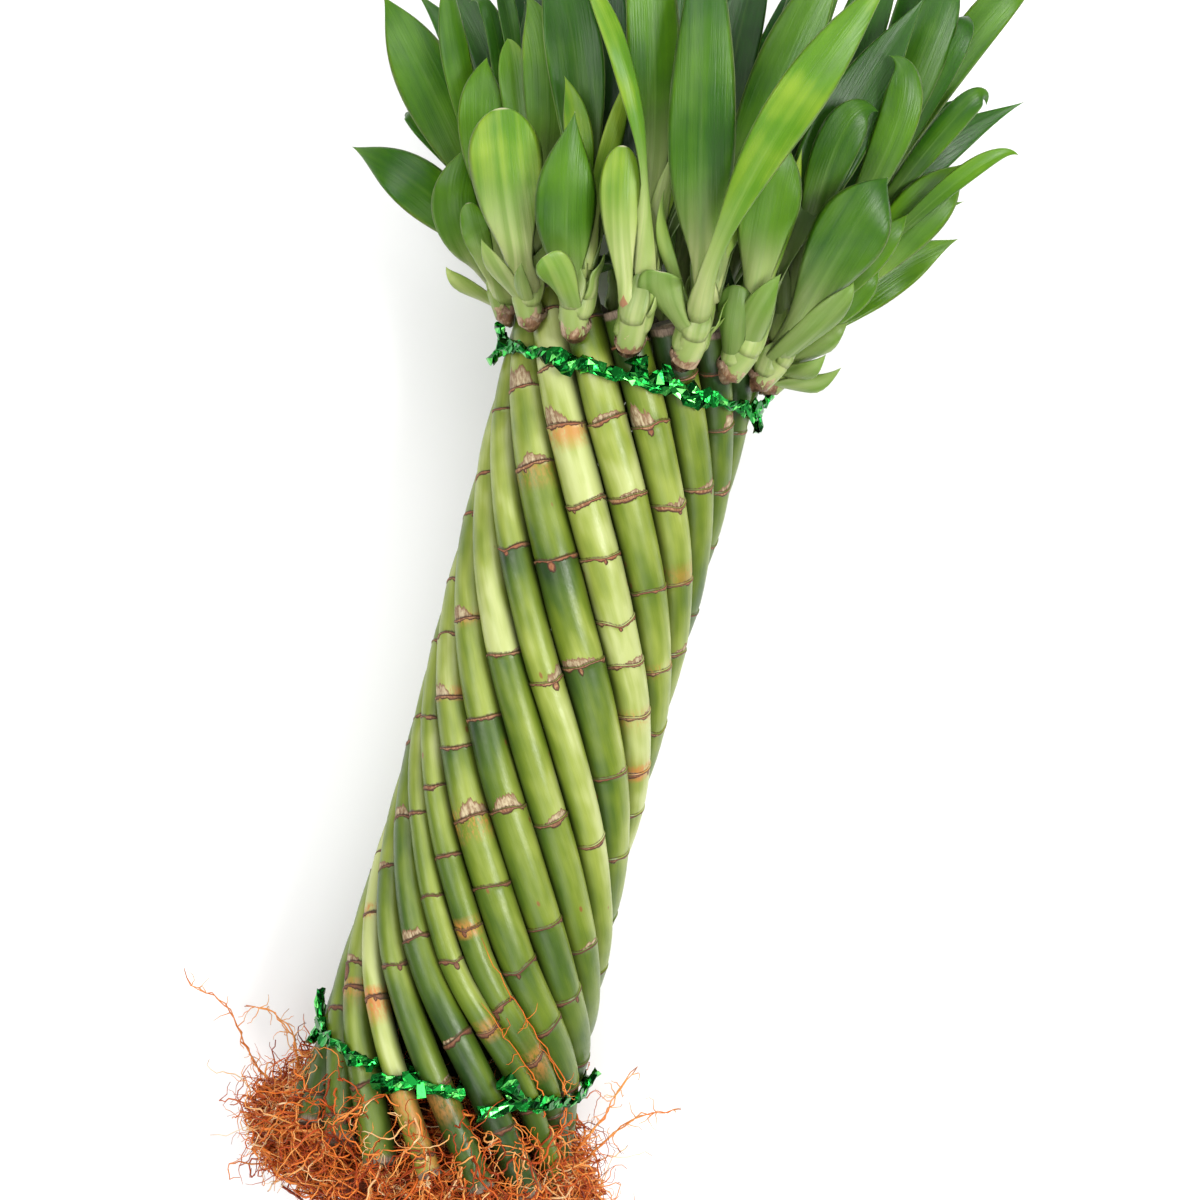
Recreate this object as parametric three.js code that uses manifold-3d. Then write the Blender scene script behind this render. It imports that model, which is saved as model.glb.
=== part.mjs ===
// A bunch of lucky bamboo: seventeen canes twisted into an open spiral tube, two foil ties, leafy side shoots
// and a mat of roots. It lies on a surface. Millimetres, +Z up. The bunch points along +Y, leaves first.
//
// Everything is built in the bunch's own frame: its axis is the y axis, y = 0 is at the lower tie, and +z is the
// side that faces up. One group then tilts the bunch and lifts it onto the surface.

import * as THREE from 'three';
import * as BufferGeometryUtils from 'three/addons/utils/BufferGeometryUtils.js';
import Module from 'manifold-3d';

const wasm = await Module();
wasm.setup();

// Driving dimensions of the bunch
const TIE_SPAN = 182.8; // from the lower tie to the upper tie
const CANE_TOP = 201; // where the canes are cut
const CANE_FOOT = -24; // where the canes end among the roots
const TUBE_RADIUS = 31.9; // outside of the cane tube at its waist
const TUBE_RADIUS_TOP = 32.6; // and at the upper tie
const TUBE_RADIUS_FOOT = 35; // and at the lower tie
const FOOT_LENGTH = 64; // over which the tube opens towards the lower tie
const TWIST_RATE = 1.15; // degrees for each millimetre at the upper tie
const TWIST_GAIN = 0.22; // what the lower tie adds to that rate
const TWIST_CURVE = 1.5;
const TILT = THREE.MathUtils.degToRad(3); // the leafy end lies higher
const AXIS_HEIGHT = 40; // of the axis over the surface, at the lower tie
const ORIGIN = [-1.85, 129.3]; // the middle of the tilted bunch, from the lower tie's centre

// Canes
const CANE_SIDES = 7;
const CANE_GAP = 0.28; // least gap between neighbours
const CANE_WAIST = 0.955; // an internode is this much thinner than its ring
const RING_STEP = 1; // over which a ring falls back to the internode
const LONGEST_SPAN = 24; // between two sections of a cane
const TUCK_GAP = 2.2; // gap that the lower tie passes through
const TUCK_LENGTH = 34; // over which that gap opens
const PINNED_CANE = 3; // this cane's place at the upper tie sets the others
const PINNED_AZIMUTH = 5.5;

// Each cane: its diameter, the heights of the rings that show, and the usual spacing of the others.
// The canes are in order round the tube. Azimuths run from +z towards +x and fall from one cane to the next.
const CANES = [
  { diameter: 8.3, rings: [], spacing: 22 },
  { diameter: 8.6, rings: [148.7, 162.7, 177.4], spacing: 15 },
  { diameter: 9.3, rings: [129.4, 161.7], spacing: 24 },
  { diameter: 9.1, rings: [99.9, 119.2, 137.2, 155.7, 173.4], spacing: 19 },
  { diameter: 9.6, rings: [99.2, 114.4, 133.9, 154.9, 171.7], spacing: 19 },
  { diameter: 9.8, rings: [76.2, 87.9, 102.4, 114.7, 124.7, 138.7, 150.9, 167.7], spacing: 14 },
  { diameter: 10.8, rings: [64.7, 85.9, 111.9, 135.4, 155.7, 173.4], spacing: 21 },
  { diameter: 8.1, rings: [32.7, 68.4, 105.7, 135.2, 166.2], spacing: 30 },
  { diameter: 8.8, rings: [40.7, 71.7, 108.7, 148.7], spacing: 30 },
  { diameter: 9.2, rings: [27.9, 45.4, 71.7, 91.9, 113.4, 138.2], spacing: 21 },
  { diameter: 9.3, rings: [19.9, 34.2, 51.9, 66.9, 82.4, 92.9, 106.7], spacing: 15 },
  { diameter: 6.6, rings: [11.9, 23.9, 40.7, 55.7, 70.9, 86.4], spacing: 16 },
  { diameter: 5.9, rings: [17.4, 31.4, 44.7, 62.7, 84.9], spacing: 17 },
  { diameter: 7.8, rings: [13.2, 33.4, 58.7, 77.4], spacing: 21 },
  { diameter: 7.1, rings: [0.7, 25.2, 45.4, 70.2], spacing: 22 },
  { diameter: 5.8, rings: [15.2, 33.2, 46.7], spacing: 16 },
  { diameter: 8.3, rings: [13.4, 19.2], spacing: 19 },
];

// The lower tie passes inside these canes, so the tube opens on both sides of them there
const TUCKED_CANES = [13, 15];

// Seeded draws, the same on every run
function seeded(seed) {
  let state = seed >>> 0;
  return () => {
    state = (state + 0x6d2b79f5) >>> 0;
    let t = state;
    t = Math.imul(t ^ (t >>> 15), t | 1);
    t ^= t + Math.imul(t ^ (t >>> 7), t | 61);
    return ((t ^ (t >>> 14)) >>> 0) / 4294967296;
  };
}

function smooth(t) {
  const c = Math.min(1, Math.max(0, t));
  return c * c * (3 - 2 * c);
}

const radians = THREE.MathUtils.degToRad;

// Solids

// A skin through rings of points, each ring with the same count, closed by a fan at both ends.
// Quads are split so that a flat blade is split alike on both faces.
function loft(rings) {
  const count = rings[0].length;
  const positions = rings.flat().flatMap((p) => [p.x, p.y, p.z]);
  const triangles = [];
  for (let i = 0; i + 1 < rings.length; i++) {
    for (let k = 0; k < count; k++) {
      const a = i * count + k;
      const b = i * count + ((k + 1) % count);
      const c = a + count;
      const d = b + count;
      if (k % 2 === 0) {
        triangles.push(a, b, d, a, d, c);
      } else {
        triangles.push(a, b, c, b, d, c);
      }
    }
  }
  const last = (rings.length - 1) * count;
  for (let k = 1; k + 1 < count; k++) {
    triangles.push(0, k + 1, k);
    triangles.push(last, last + k, last + k + 1);
  }
  return solid(positions, triangles);
}

// A blade: rings of four points, closed to one point at the tip when that is given
function blade(rings, tip) {
  const count = rings[0].length;
  const positions = rings.flat().flatMap((p) => [p.x, p.y, p.z]);
  const triangles = [0, 2, 1, 0, 3, 2];
  for (let i = 0; i + 1 < rings.length; i++) {
    for (let k = 0; k < count; k++) {
      const a = i * count + k;
      const b = i * count + ((k + 1) % count);
      if (k % 2 === 0) {
        triangles.push(a, b, b + count, a, b + count, a + count);
      } else {
        triangles.push(a, b, a + count, b, b + count, a + count);
      }
    }
  }
  const last = (rings.length - 1) * count;
  if (tip) {
    const apex = positions.length / 3;
    positions.push(tip.x, tip.y, tip.z);
    for (let k = 0; k < count; k++) {
      triangles.push(last + k, last + ((k + 1) % count), apex);
    }
  } else {
    triangles.push(last, last + 1, last + 2, last, last + 2, last + 3);
  }
  return solid(positions, triangles);
}

function solid(positions, triangles) {
  let volume = 0;
  const corner = (i) => new THREE.Vector3().fromArray(positions, 3 * i);
  for (let i = 0; i < triangles.length; i += 3) {
    const a = corner(triangles[i]);
    volume += a.dot(corner(triangles[i + 1]).cross(corner(triangles[i + 2])));
  }
  if (volume < 0) {
    triangles.reverse();
  }
  const mesh = new wasm.Mesh({
    numProp: 3,
    vertProperties: new Float32Array(positions),
    triVerts: new Uint32Array(triangles),
  });
  return new wasm.Manifold(mesh);
}

function geometryOf(manifold) {
  const mesh = manifold.getMesh();
  const geometry = new THREE.BufferGeometry();
  geometry.setAttribute('position', new THREE.BufferAttribute(new Float32Array(mesh.vertProperties), 3));
  geometry.setIndex(new THREE.BufferAttribute(new Uint32Array(mesh.triVerts), 1));
  return BufferGeometryUtils.mergeVertices(geometry);
}

// A round tube with its own radius at each point
function tube(points, radii, sides) {
  const rings = points.map((point, i) => {
    const before = points[Math.max(0, i - 1)];
    const after = points[Math.min(points.length - 1, i + 1)];
    const along = after.clone().sub(before).normalize();
    const across = sideOf(along);
    const up = across.clone().cross(along);
    return ringAt(point, across, up, radii[i], sides);
  });
  return loft(rings);
}

function sideOf(along) {
  const helper = Math.abs(along.x) < 0.8 ? new THREE.Vector3(1, 0, 0) : new THREE.Vector3(0, 0, 1);
  return helper.sub(along.clone().multiplyScalar(helper.dot(along))).normalize();
}

function ringAt(centre, across, up, radius, sides) {
  return Array.from({ length: sides }, (_, k) => {
    const turn = (2 * Math.PI * k) / sides;
    return centre
      .clone()
      .addScaledVector(across, radius * Math.cos(turn))
      .addScaledVector(up, radius * Math.sin(turn));
  });
}

// The twisted tube of canes

function tubeRadius(y) {
  const top = (TUBE_RADIUS_TOP - TUBE_RADIUS) * smooth((y - TIE_SPAN / 2) / (TIE_SPAN / 2));
  const foot = (TUBE_RADIUS_FOOT - TUBE_RADIUS) * smooth((FOOT_LENGTH - y) / FOOT_LENGTH);
  return TUBE_RADIUS + top + foot;
}

function twist(y) {
  const below = TIE_SPAN - y;
  const left = 1 - Math.min(1, Math.max(0, y / TIE_SPAN));
  const gained = (TWIST_GAIN * TIE_SPAN * left ** (TWIST_CURVE + 1)) / (TWIST_CURVE + 1);
  return TWIST_RATE * below + gained;
}

// Room that cane k and the next one take on the tube, at this height
function pitch(k, y) {
  const next = (k + 1) % CANES.length;
  const touching = (CANES[k].diameter + CANES[next].diameter) / 2 + CANE_GAP;
  const tucked = TUCKED_CANES.includes(k) || TUCKED_CANES.includes(next);
  return touching + (tucked ? TUCK_GAP * smooth((TUCK_LENGTH - y) / TUCK_LENGTH) : 0);
}

function azimuth(index, y) {
  let total = 0;
  for (let k = 0; k < CANES.length; k++) {
    total += pitch(k, y);
  }
  let step = 0;
  for (let k = PINNED_CANE; k < index; k++) {
    step -= pitch(k, y);
  }
  for (let k = index; k < PINNED_CANE; k++) {
    step += pitch(k, y);
  }
  return radians(PINNED_AZIMUTH + twist(y) + (360 * step) / total);
}

// A point on the axis of a cane. Past the ties nothing bends a cane, so it runs on straight.
function canePoint(index, y) {
  const held = Math.min(TIE_SPAN, Math.max(0, y));
  const at = (height) => {
    const turn = azimuth(index, height);
    const radius = tubeRadius(height) - CANES[index].diameter / 2;
    return new THREE.Vector3(radius * Math.sin(turn), height, radius * Math.cos(turn));
  };
  const point = at(held);
  if (y !== held) {
    const inner = at(held + (y > held ? -0.5 : 0.5));
    point.addScaledVector(point.clone().sub(inner), Math.abs(y - held) / 0.5);
  }
  return point;
}

// Heights of all rings of a cane: the ones that show, and hidden ones beyond them at its usual spacing
function ringHeights(index) {
  const { rings, spacing } = CANES[index];
  const draw = seeded(100 + index);
  const next = () => spacing * (0.85 + 0.3 * draw());
  const heights = [...rings];
  let up = rings.length ? rings[rings.length - 1] : 90;
  let down = rings.length ? rings[0] : 90 + spacing;
  for (up += next(); up < CANE_TOP - 6; up += next()) {
    heights.push(up);
  }
  for (down -= next(); down > CANE_FOOT + 5; down -= next()) {
    heights.unshift(down);
  }
  return heights;
}

function caneEnds(index) {
  const draw = seeded(300 + index);
  return [CANE_FOOT + 2 * draw(), CANE_TOP - 3 * draw()];
}

// Sections of a cane, from its foot to its cut top: [height, share of the ring's radius]
function caneSections(index) {
  const [foot, top] = caneEnds(index);
  const sections = [[foot, CANE_WAIST]];
  const heights = [...ringHeights(index), top];
  let last = foot;
  for (const height of heights) {
    const pieces = Math.ceil((height - last) / LONGEST_SPAN);
    for (let k = 1; k < pieces; k++) {
      sections.push([last + ((height - last) * k) / pieces, CANE_WAIST]);
    }
    if (height < top) {
      sections.push([height, 1], [height + RING_STEP, CANE_WAIST]);
      last = height + RING_STEP;
    }
  }
  sections.push([top, CANE_WAIST]);
  return sections;
}

function cane(index, extra = 0) {
  const radius = CANES[index].diameter / 2;
  const rings = caneSections(index).map(([y, share]) => {
    const centre = canePoint(index, y);
    const along = canePoint(index, y + 0.5).sub(canePoint(index, y - 0.5)).normalize();
    const out = new THREE.Vector3(centre.x, 0, centre.z).normalize();
    out.addScaledVector(along, -out.dot(along)).normalize();
    const across = out.clone().cross(along);
    return ringAt(centre, across, out, radius * share + extra, CANE_SIDES);
  });
  return loft(rings);
}

// Side shoots with their leaves

const SHOOT_HEIGHT = 190.5;
const SHOOT_RADIUS = 3;
const STEM_SIDES = 6;
const STEM_REACH = 4.5; // how far the stem stands out from its cane
const STEM_LENGTH = 17;
const STEM_BEND = 0.4; // where along the stem it has turned to run beside its cane
const STEM_REST = 0.66; // a little more than the rest of it, so that no leaf starts at its very end
const BLADE_THICKNESS = 1.3; // at the midrib of a leaf
const BLADE_FOLD = 0.07; // depth of the fold as a share of the width
const CLEARANCE = 0.3;
const SEAT_GAP = 0.75; // between a cane and the foot of its shoot, where the cane leans

// Outlines: how wide a leaf is along its length, as shares of its greatest width
const OUTLINES = {
  lance: [[0, 0.2], [0.18, 0.32], [0.42, 0.9], [0.64, 1], [0.86, 0.56], [1, 0]],
  spoon: [[0, 0.3], [0.35, 0.38], [0.68, 0.98], [0.86, 0.9], [0.97, 0.45], [1, 0]],
  ribbon: [[0, 0.22], [0.35, 0.26], [0.52, 0.5], [0.72, 1], [0.9, 0.6], [1, 0]],
  scale: [[0, 0.8], [0.35, 1], [0.7, 0.7], [1, 0]],
  cup: [[0, 0.5], [0.4, 0.7], [0.8, 1], [1, 0.85]],
};

// Leaves that show from above, on the shoots of canes 1 to 9 and 15 to 17. Each row: cane, outline, width,
// where it leaves the stem (0 to 1), its middle, its tip, and how far its face rolls about its length.
const FRONT_LEAVES = [
  [3, 'cup', 11, 0.3, [4, 202, 41], [1, 209, 46], 0],
  [3, 'lance', 16, 0.9, [3, 238, 58], [-11, 299, 62], -8],
  [3, 'ribbon', 12, 0.6, [16, 235, 66], [36, 289, 72], 12],
  [3, 'lance', 14, 0.95, [16, 255, 42], [24, 297, 47], 5],
  [3, 'scale', 4, 0.35, [9, 207, 35], [11, 212, 36], 0],
  [3, 'scale', 4, 0.5, [1, 214, 43], [-3, 228, 49], 40],
  [3, 'lance', 11, 1, [5, 263, 30], [7, 294, 28], 0],
  [4, 'spoon', 10, 0.35, [-10, 214, 46], [-15, 235, 52], 0],
  [4, 'ribbon', 6, 0.9, [-14, 243, 55], [-37, 274, 59], 30],
  [4, 'lance', 13, 1, [-13, 256, 50], [-28, 295, 56], 10],
  [4, 'scale', 5, 0.8, [-3, 223, 44], [-3, 238, 50], 40],
  [4, 'lance', 9, 0.9, [-16, 237, 33], [-15, 263, 28], 0],
  [4, 'lance', 12, 1, [-7, 259, 34], [-14, 294, 36], 0],
  [5, 'cup', 9, 0.1, [-21, 200, 43], [-26, 206, 48], 0],
  [5, 'lance', 15, 0.4, [-24, 216, 44], [-28, 240, 50], 8],
  [5, 'lance', 7, 0.8, [-25, 232, 38], [-33, 248, 42], 0],
  [5, 'lance', 14, 0.9, [-31, 251, 36], [-47, 280, 38], 0],
  [5, 'lance', 13, 1, [-23, 247, 24], [-35, 278, 24], 0],
  [5, 'lance', 10, 0.9, [-7, 219, 18], [-10, 246, 16], 0],
  [6, 'spoon', 18, 0.4, [-37, 213, 38], [-46, 237, 42], 0],
  [6, 'scale', 6, 0.1, [-37, 199, 30], [-43, 206, 36], 0],
  [6, 'scale', 4, 0.2, [-31, 198, 34], [-32, 203, 38], 0],
  [6, 'lance', 12, 0.9, [-37, 245, 30], [-48, 266, 32], 0],
  [6, 'lance', 8, 0.9, [-44, 242, 24], [-50, 255, 24], 0],
  [6, 'lance', 5, 1, [-50, 257, 16], [-59, 270, 14], 30],
  [6, 'lance', 12, 0.95, [-18, 224, 14], [-25, 258, 12], 0],
  [7, 'spoon', 7, 0.15, [-42, 202, 24], [-49, 214, 28], 0],
  [7, 'lance', 12, 0.6, [-50, 231, 22], [-54, 250, 22], 0],
  [7, 'lance', 5, 1, [-53, 254, 12], [-63, 263, 10], 30],
  [7, 'lance', 8, 0.9, [-59, 243, 14], [-71, 272, 12], 30],
  [8, 'scale', 5, 0, [-46, 194, 8], [-52, 198, 10], 0],
  [8, 'lance', 12, 0.4, [-52, 210, 14], [-53, 229, 17], 0],
  [8, 'lance', 16, 0.9, [-65, 238, 6], [-85, 260, 4], 0],
  [9, 'lance', 14, 0.5, [-67, 218, 0], [-84, 221, -4], 0],
  [9, 'lance', 5, 0.9, [-65, 229, -6], [-73, 232, -8], 30],
  [2, 'cup', 8, 0, [21, 201, 34], [20, 206, 39], 0],
  [2, 'scale', 8, 0.3, [26, 206, 38], [29, 216, 42], 0],
  [2, 'lance', 15, 0.6, [22, 229, 46], [22, 246, 50], 5],
  [2, 'lance', 7, 0.9, [13, 216, 22], [11, 231, 22], 0],
  [2, 'lance', 9, 0.9, [26, 245, 25], [24, 261, 23], 0],
  [2, 'lance', 12, 1, [19, 272, 32], [28, 303, 32], 0],
  [1, 'lance', 18, 0.4, [42, 227, 36], [48, 245, 36], 10],
  [1, 'lance', 11, 0.9, [34, 248, 32], [42, 260, 32], 0],
  [1, 'scale', 8, 0.1, [43, 209, 28], [47, 219, 30], 0],
  [1, 'scale', 5, 0.5, [32, 211, 22], [28, 223, 24], 0],
  [1, 'lance', 10, 1, [47, 257, 28], [41, 274, 28], 0],
  [1, 'lance', 12, 1, [33, 272, 17], [38, 304, 16], 0],
  [17, 'lance', 8, 0.8, [49, 225, 22], [56, 239, 22], 0],
  [17, 'lance', 9, 0.5, [48, 216, 14], [53, 226, 14], 0],
  [17, 'scale', 7, 0.3, [44, 203, 18], [49, 210, 18], 0],
  [17, 'scale', 6, 0.2, [42, 195, 13], [46, 201, 16], 0],
  [17, 'scale', 6, 0, [44, 192, 8], [51, 199, 10], 0],
  [17, 'lance', 12, 1, [49, 273, 16], [51, 301, 16], 0],
  [17, 'lance', 14, 0.8, [58, 238, 8], [67, 256, 6], 0],
  [17, 'lance', 5, 0.9, [65, 249, 12], [80, 261, 10], 20],
  [16, 'lance', 7, 1, [60, 262, 10], [69, 271, 8], 0],
  [16, 'lance', 14, 0.7, [53, 233, -6], [72, 258, -7], 0],
  [16, 'lance', 12, 0.4, [55, 222, -17], [74, 240, -20], 0],
  [16, 'lance', 8, 1, [54, 272, 14], [58, 290, 14], 0],
  [16, 'lance', 10, 1, [60, 284, 4], [76, 305, 2], 0],
  [17, 'lance', 10, 1, [45, 282, 8], [45, 310, 6], 0],
];

function share(outline, u) {
  const keys = OUTLINES[outline];
  const i = Math.max(1, keys.findIndex(([at]) => at >= u));
  const [u0, w0] = keys[i - 1];
  const [u1, w1] = keys[i];
  return w0 + (w1 - w0) * ((u - u0) / (u1 - u0));
}

// A curve through three points, reached at 0, 0.5 and 1
function through(a, b, c, u) {
  const wa = (1 - u) * (1 - 2 * u);
  const wb = 4 * u * (1 - u);
  const wc = u * (2 * u - 1);
  return a.clone().multiplyScalar(wa).addScaledVector(b, wb).addScaledVector(c, wc);
}

function leaf(base, middle, tip, outline, width, roll) {
  const keys = OUTLINES[outline].map(([at]) => at);
  const pointed = share(outline, 1) === 0;
  const stations = pointed ? keys.slice(0, -1) : keys;
  const point = (u) => through(base, middle, tip, u);
  const rings = stations.map((u) => {
    const centre = point(u);
    const along = point(u + 0.01).sub(point(u - 0.01)).normalize();
    const face = new THREE.Vector3(0, 0, 1);
    face.addScaledVector(along, -face.dot(along)).normalize();
    face.applyAxisAngle(along, radians(roll));
    const across = along.clone().cross(face);
    const half = (width * share(outline, u)) / 2;
    const thin = Math.min(1, 0.55 + half / 4);
    const thickness = (BLADE_THICKNESS / 2) * thin;
    const fold = 2 * half * BLADE_FOLD;
    const at = (side, lift) => centre.clone().addScaledVector(across, side).addScaledVector(face, lift);
    return [at(-half, fold), at(0, thickness), at(half, fold), at(0, -thickness)];
  });
  return blade(rings, pointed ? tip : null);
}

function stemPoints(index) {
  const cane = canePoint(index, SHOOT_HEIGHT);
  const out = new THREE.Vector3(cane.x, 0, cane.z).normalize();
  const surface = CANES[index].diameter / 2 + SEAT_GAP;
  const at = (reach, rise) => cane.clone().addScaledVector(out, surface + reach).add(new THREE.Vector3(0, rise, 0));
  return [at(0, 0), at(1.2, 0), at(STEM_REACH, 5), at(STEM_REACH + 1, STEM_LENGTH)];
}

function stem(index) {
  const radii = [SHOOT_RADIUS * 0.7, SHOOT_RADIUS * 0.95, SHOOT_RADIUS, SHOOT_RADIUS * 0.6];
  return tube(stemPoints(index), radii, STEM_SIDES);
}

function stemAt(index, share) {
  const [, low, middle, high] = stemPoints(index);
  return share < STEM_BEND
    ? low.lerp(middle, share / STEM_BEND)
    : middle.lerp(high, (share - STEM_BEND) / STEM_REST);
}

// Leaves of the shoots on the side that the bunch lies on. They fan out in columns, one over the other, from
// the middle of the bunch down to the surface.
const LOW_SHOOTS = [9, 10, 11, 12, 13, 14, 15];
const LOW_LEAVES = 5;
const LOW_START = -8; // level of the uppermost of them
const LOW_REACH = 16; // how far the lowest hangs below its stem
const LOW_FLOOR = -46;
const LOW_STAGGER = 5; // every second shoot's leaves lie this much lower
const LOW_FAN = 0.017; // radians of swing for each millimetre from the middle
const RESTING_SHOOTS = [10, 14]; // the lowest leaf of each of these lies on the surface
const REST_DEPTH = 0.4; // from the middle of such a leaf to the surface
const REST_CURL = 6; // how far its tip rises again
const UNDER_SURFACE = [600, 800, 100]; // block that cuts off what would reach below the surface

function surfaceLevel(y) {
  return -(AXIS_HEIGHT + y * Math.sin(TILT)) / Math.cos(TILT);
}

function lowLeaves() {
  const rows = [];
  for (const number of LOW_SHOOTS) {
    const draw = seeded(500 + number);
    const home = stemAt(number - 1, 1);
    const lowest = Math.max(LOW_FLOOR + LOW_STAGGER, home.z - LOW_REACH);
    for (let k = 0; k < LOW_LEAVES; k++) {
      const drop = k / (LOW_LEAVES - 1);
      const length = 88 - 30 * drop - 12 * draw();
      const swing = home.x * LOW_FAN + (draw() - 0.5) * 0.2;
      const width = 12 + 4 * draw();
      const resting = RESTING_SHOOTS.includes(number) && k === LOW_LEAVES - 1;
      const start = 1 - 0.7 * drop;
      const base = stemAt(number - 1, start);
      const bend = 0.7 * swing;
      const [half, full] = [0.5 * length, length];
      const along = base.y + half * Math.cos(bend);
      const free = LOW_START + (lowest - LOW_START) * drop - (number % 2) * LOW_STAGGER;
      const level = resting ? surfaceLevel(along) + REST_DEPTH : free;
      const middle = [base.x + half * Math.sin(bend), along, level];
      const end = level + (resting ? REST_CURL : -3);
      const tip = [base.x + full * Math.sin(swing), base.y + full * Math.cos(swing), end];
      rows.push([number, 'lance', width, start, middle, tip, 0]);
    }
  }
  return rows;
}

function floorBlock() {
  const block = new THREE.BoxGeometry(...UNDER_SURFACE);
  block.translate(0, 0, -UNDER_SURFACE[2] / 2);
  block.deleteAttribute('normal');
  block.deleteAttribute('uv');
  const welded = BufferGeometryUtils.mergeVertices(block);
  const inverse = new THREE.Matrix4().makeTranslation(0, 0, AXIS_HEIGHT);
  inverse.multiply(new THREE.Matrix4().makeRotationX(TILT)).invert();
  welded.applyMatrix4(inverse);
  return solid(Array.from(welded.attributes.position.array), Array.from(welded.index.array));
}

function shoot(index, leaves) {
  let body = stem(index);
  for (const [number, outline, width, start, middle, tip, roll] of leaves) {
    if (number === index + 1) {
      const base = stemAt(index, start);
      const [m, t] = [new THREE.Vector3(...middle), new THREE.Vector3(...tip)];
      body = body.add(leaf(base, m, t, outline, width, roll));
    }
  }
  return body.subtract(floorBlock());
}

// Ties: foil-wrapped wire, twisted round the tube, with short free ends

const TIE_WIRE = 1.9; // mean thickness of the upper tie
const LOWER_WIRE = 1.5; // the lower one is pulled through between canes
const TIE_CRUMPLE = 0.3;
const TIE_STEPS = 36;
const TIE_SIDES = 5;
const END_SIDES = 4;

// Free ends: azimuth where they leave the tie, then how far they run round, along the bunch and outwards
const UPPER_ENDS = [
  [7, -3, 5, 2.5],
  [9, 4, 4, 2],
  [-84, -2, 5, 2],
  [-88, 2, -5, 1.5],
  [84, 2, 5, 2],
  [88, 0, -5, 1.5],
];
const LOWER_ENDS = [
  [35, -8, 6, 1.5],
  [34, -11, -3, 2],
  [-9, -11, -3, 1.2],
  [-84, -2, 8, 1.5],
  [-76, 2, -4, 2],
  [80, 2, 6, 2],
];

function roundPoint(turn, radius, y) {
  return new THREE.Vector3(radius * Math.sin(turn), y, radius * Math.cos(turn));
}

// A closed hoop of wire through points that lie nearly level round the bunch's axis
function hoop(points, thickness, seed) {
  const draw = seeded(seed);
  const up = new THREE.Vector3(0, 1, 0);
  const count = points.length;
  const rings = points.map((point, i) => {
    const along = points[(i + 1) % count].clone().sub(points[(i + count - 1) % count]).normalize();
    const across = along.clone().cross(up).normalize();
    const radius = (thickness / 2) * (1 - TIE_CRUMPLE * draw());
    return ringAt(point, across, up, radius, TIE_SIDES);
  });
  return closedLoft(rings);
}

// A skin through rings of points that runs round and joins up
function closedLoft(rings) {
  const count = rings[0].length;
  const positions = rings.flat().flatMap((p) => [p.x, p.y, p.z]);
  const triangles = [];
  for (let i = 0; i < rings.length; i++) {
    for (let k = 0; k < count; k++) {
      const a = i * count + k;
      const b = i * count + ((k + 1) % count);
      const c = ((i + 1) % rings.length) * count + k;
      const d = ((i + 1) % rings.length) * count + ((k + 1) % count);
      triangles.push(a, b, d, a, d, c);
    }
  }
  return solid(positions, triangles);
}

function upperPath() {
  const radius = TUBE_RADIUS_TOP + CLEARANCE + TIE_WIRE / 2;
  return Array.from({ length: TIE_STEPS }, (_, i) => roundPoint((2 * Math.PI * i) / TIE_STEPS, radius, TIE_SPAN));
}

// Azimuth of the gap between cane k and the next one at the lower tie
function gapAzimuth(k) {
  const next = (k + 1) % CANES.length;
  const turn = azimuth(k, 0);
  const span = (2 * Math.PI * pitch(k, 0)) / CANES.reduce((sum, _, i) => sum + pitch(i, 0), 0);
  return turn - (span * CANES[k].diameter) / (CANES[k].diameter + CANES[next].diameter);
}

function lowerPath() {
  const outside = TUBE_RADIUS_FOOT + CLEARANCE + LOWER_WIRE / 2;
  const points = [];
  CANES.forEach((cane, k) => {
    const start = gapAzimuth((k + CANES.length - 1) % CANES.length) + (k === 0 ? 2 * Math.PI : 0);
    const end = gapAzimuth(k);
    const tucked = TUCKED_CANES.includes(k);
    const radius = tucked ? TUBE_RADIUS_FOOT - cane.diameter - CLEARANCE - LOWER_WIRE / 2 : outside;
    const turns = tucked ? [start, (start + end) / 2, end] : [start - (start - end) / 4, end + (start - end) / 4];
    if (tucked) {
      points.push(roundPoint(start, outside, 0));
    }
    points.push(...turns.map((turn) => roundPoint(turn, radius, 0)));
    if (tucked) {
      points.push(roundPoint(end, outside, 0));
    }
  });
  return points;
}

function freeEnd([azimuthDegrees, round, along, out], radius, y, thickness) {
  const turn = radians(azimuthDegrees);
  const at = (share) => {
    const reach = radius + out * share;
    return roundPoint(turn + (round * share) / radius, reach, y + along * share);
  };
  return tube([at(0), at(0.5), at(1)], [thickness * 0.4, thickness * 0.5, thickness * 0.35], END_SIDES);
}

function tie(path, ends, y, radius, thickness, seed) {
  let body = hoop(path, thickness, seed);
  for (const end of ends) {
    body = body.add(freeEnd(end, radius, y, thickness));
  }
  return body;
}

const upperTie = () =>
  tie(upperPath(), UPPER_ENDS, TIE_SPAN, TUBE_RADIUS_TOP + CLEARANCE + TIE_WIRE / 2, TIE_WIRE, 41);
const lowerTie = (extra = 0) =>
  tie(lowerPath(), LOWER_ENDS, 0, TUBE_RADIUS_FOOT + CLEARANCE + LOWER_WIRE / 2, LOWER_WIRE + extra, 42);

// Roots

const MAT_CENTRE = new THREE.Vector3(-1, -30, -5);
const MAT_SIZE = new THREE.Vector3(40, 16, 33); // half the width, length and depth of its core
const MAT_LUMPS = 0.07;
const STRANDS = 55; // none crosses another
const STRAND_RADIUS = 1.3;
const STRAND_SIDES = 3;
const STRAND_REACH = [0.86, 1.05, 1.09, 1.14, 1.3]; // each point of a root from the mat's middle, in core sizes
const STRAND_SPREAD = 0.07;
const STRAND_TURN = [0.14, 0.2]; // radians round the core for each step, least and spread

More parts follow.
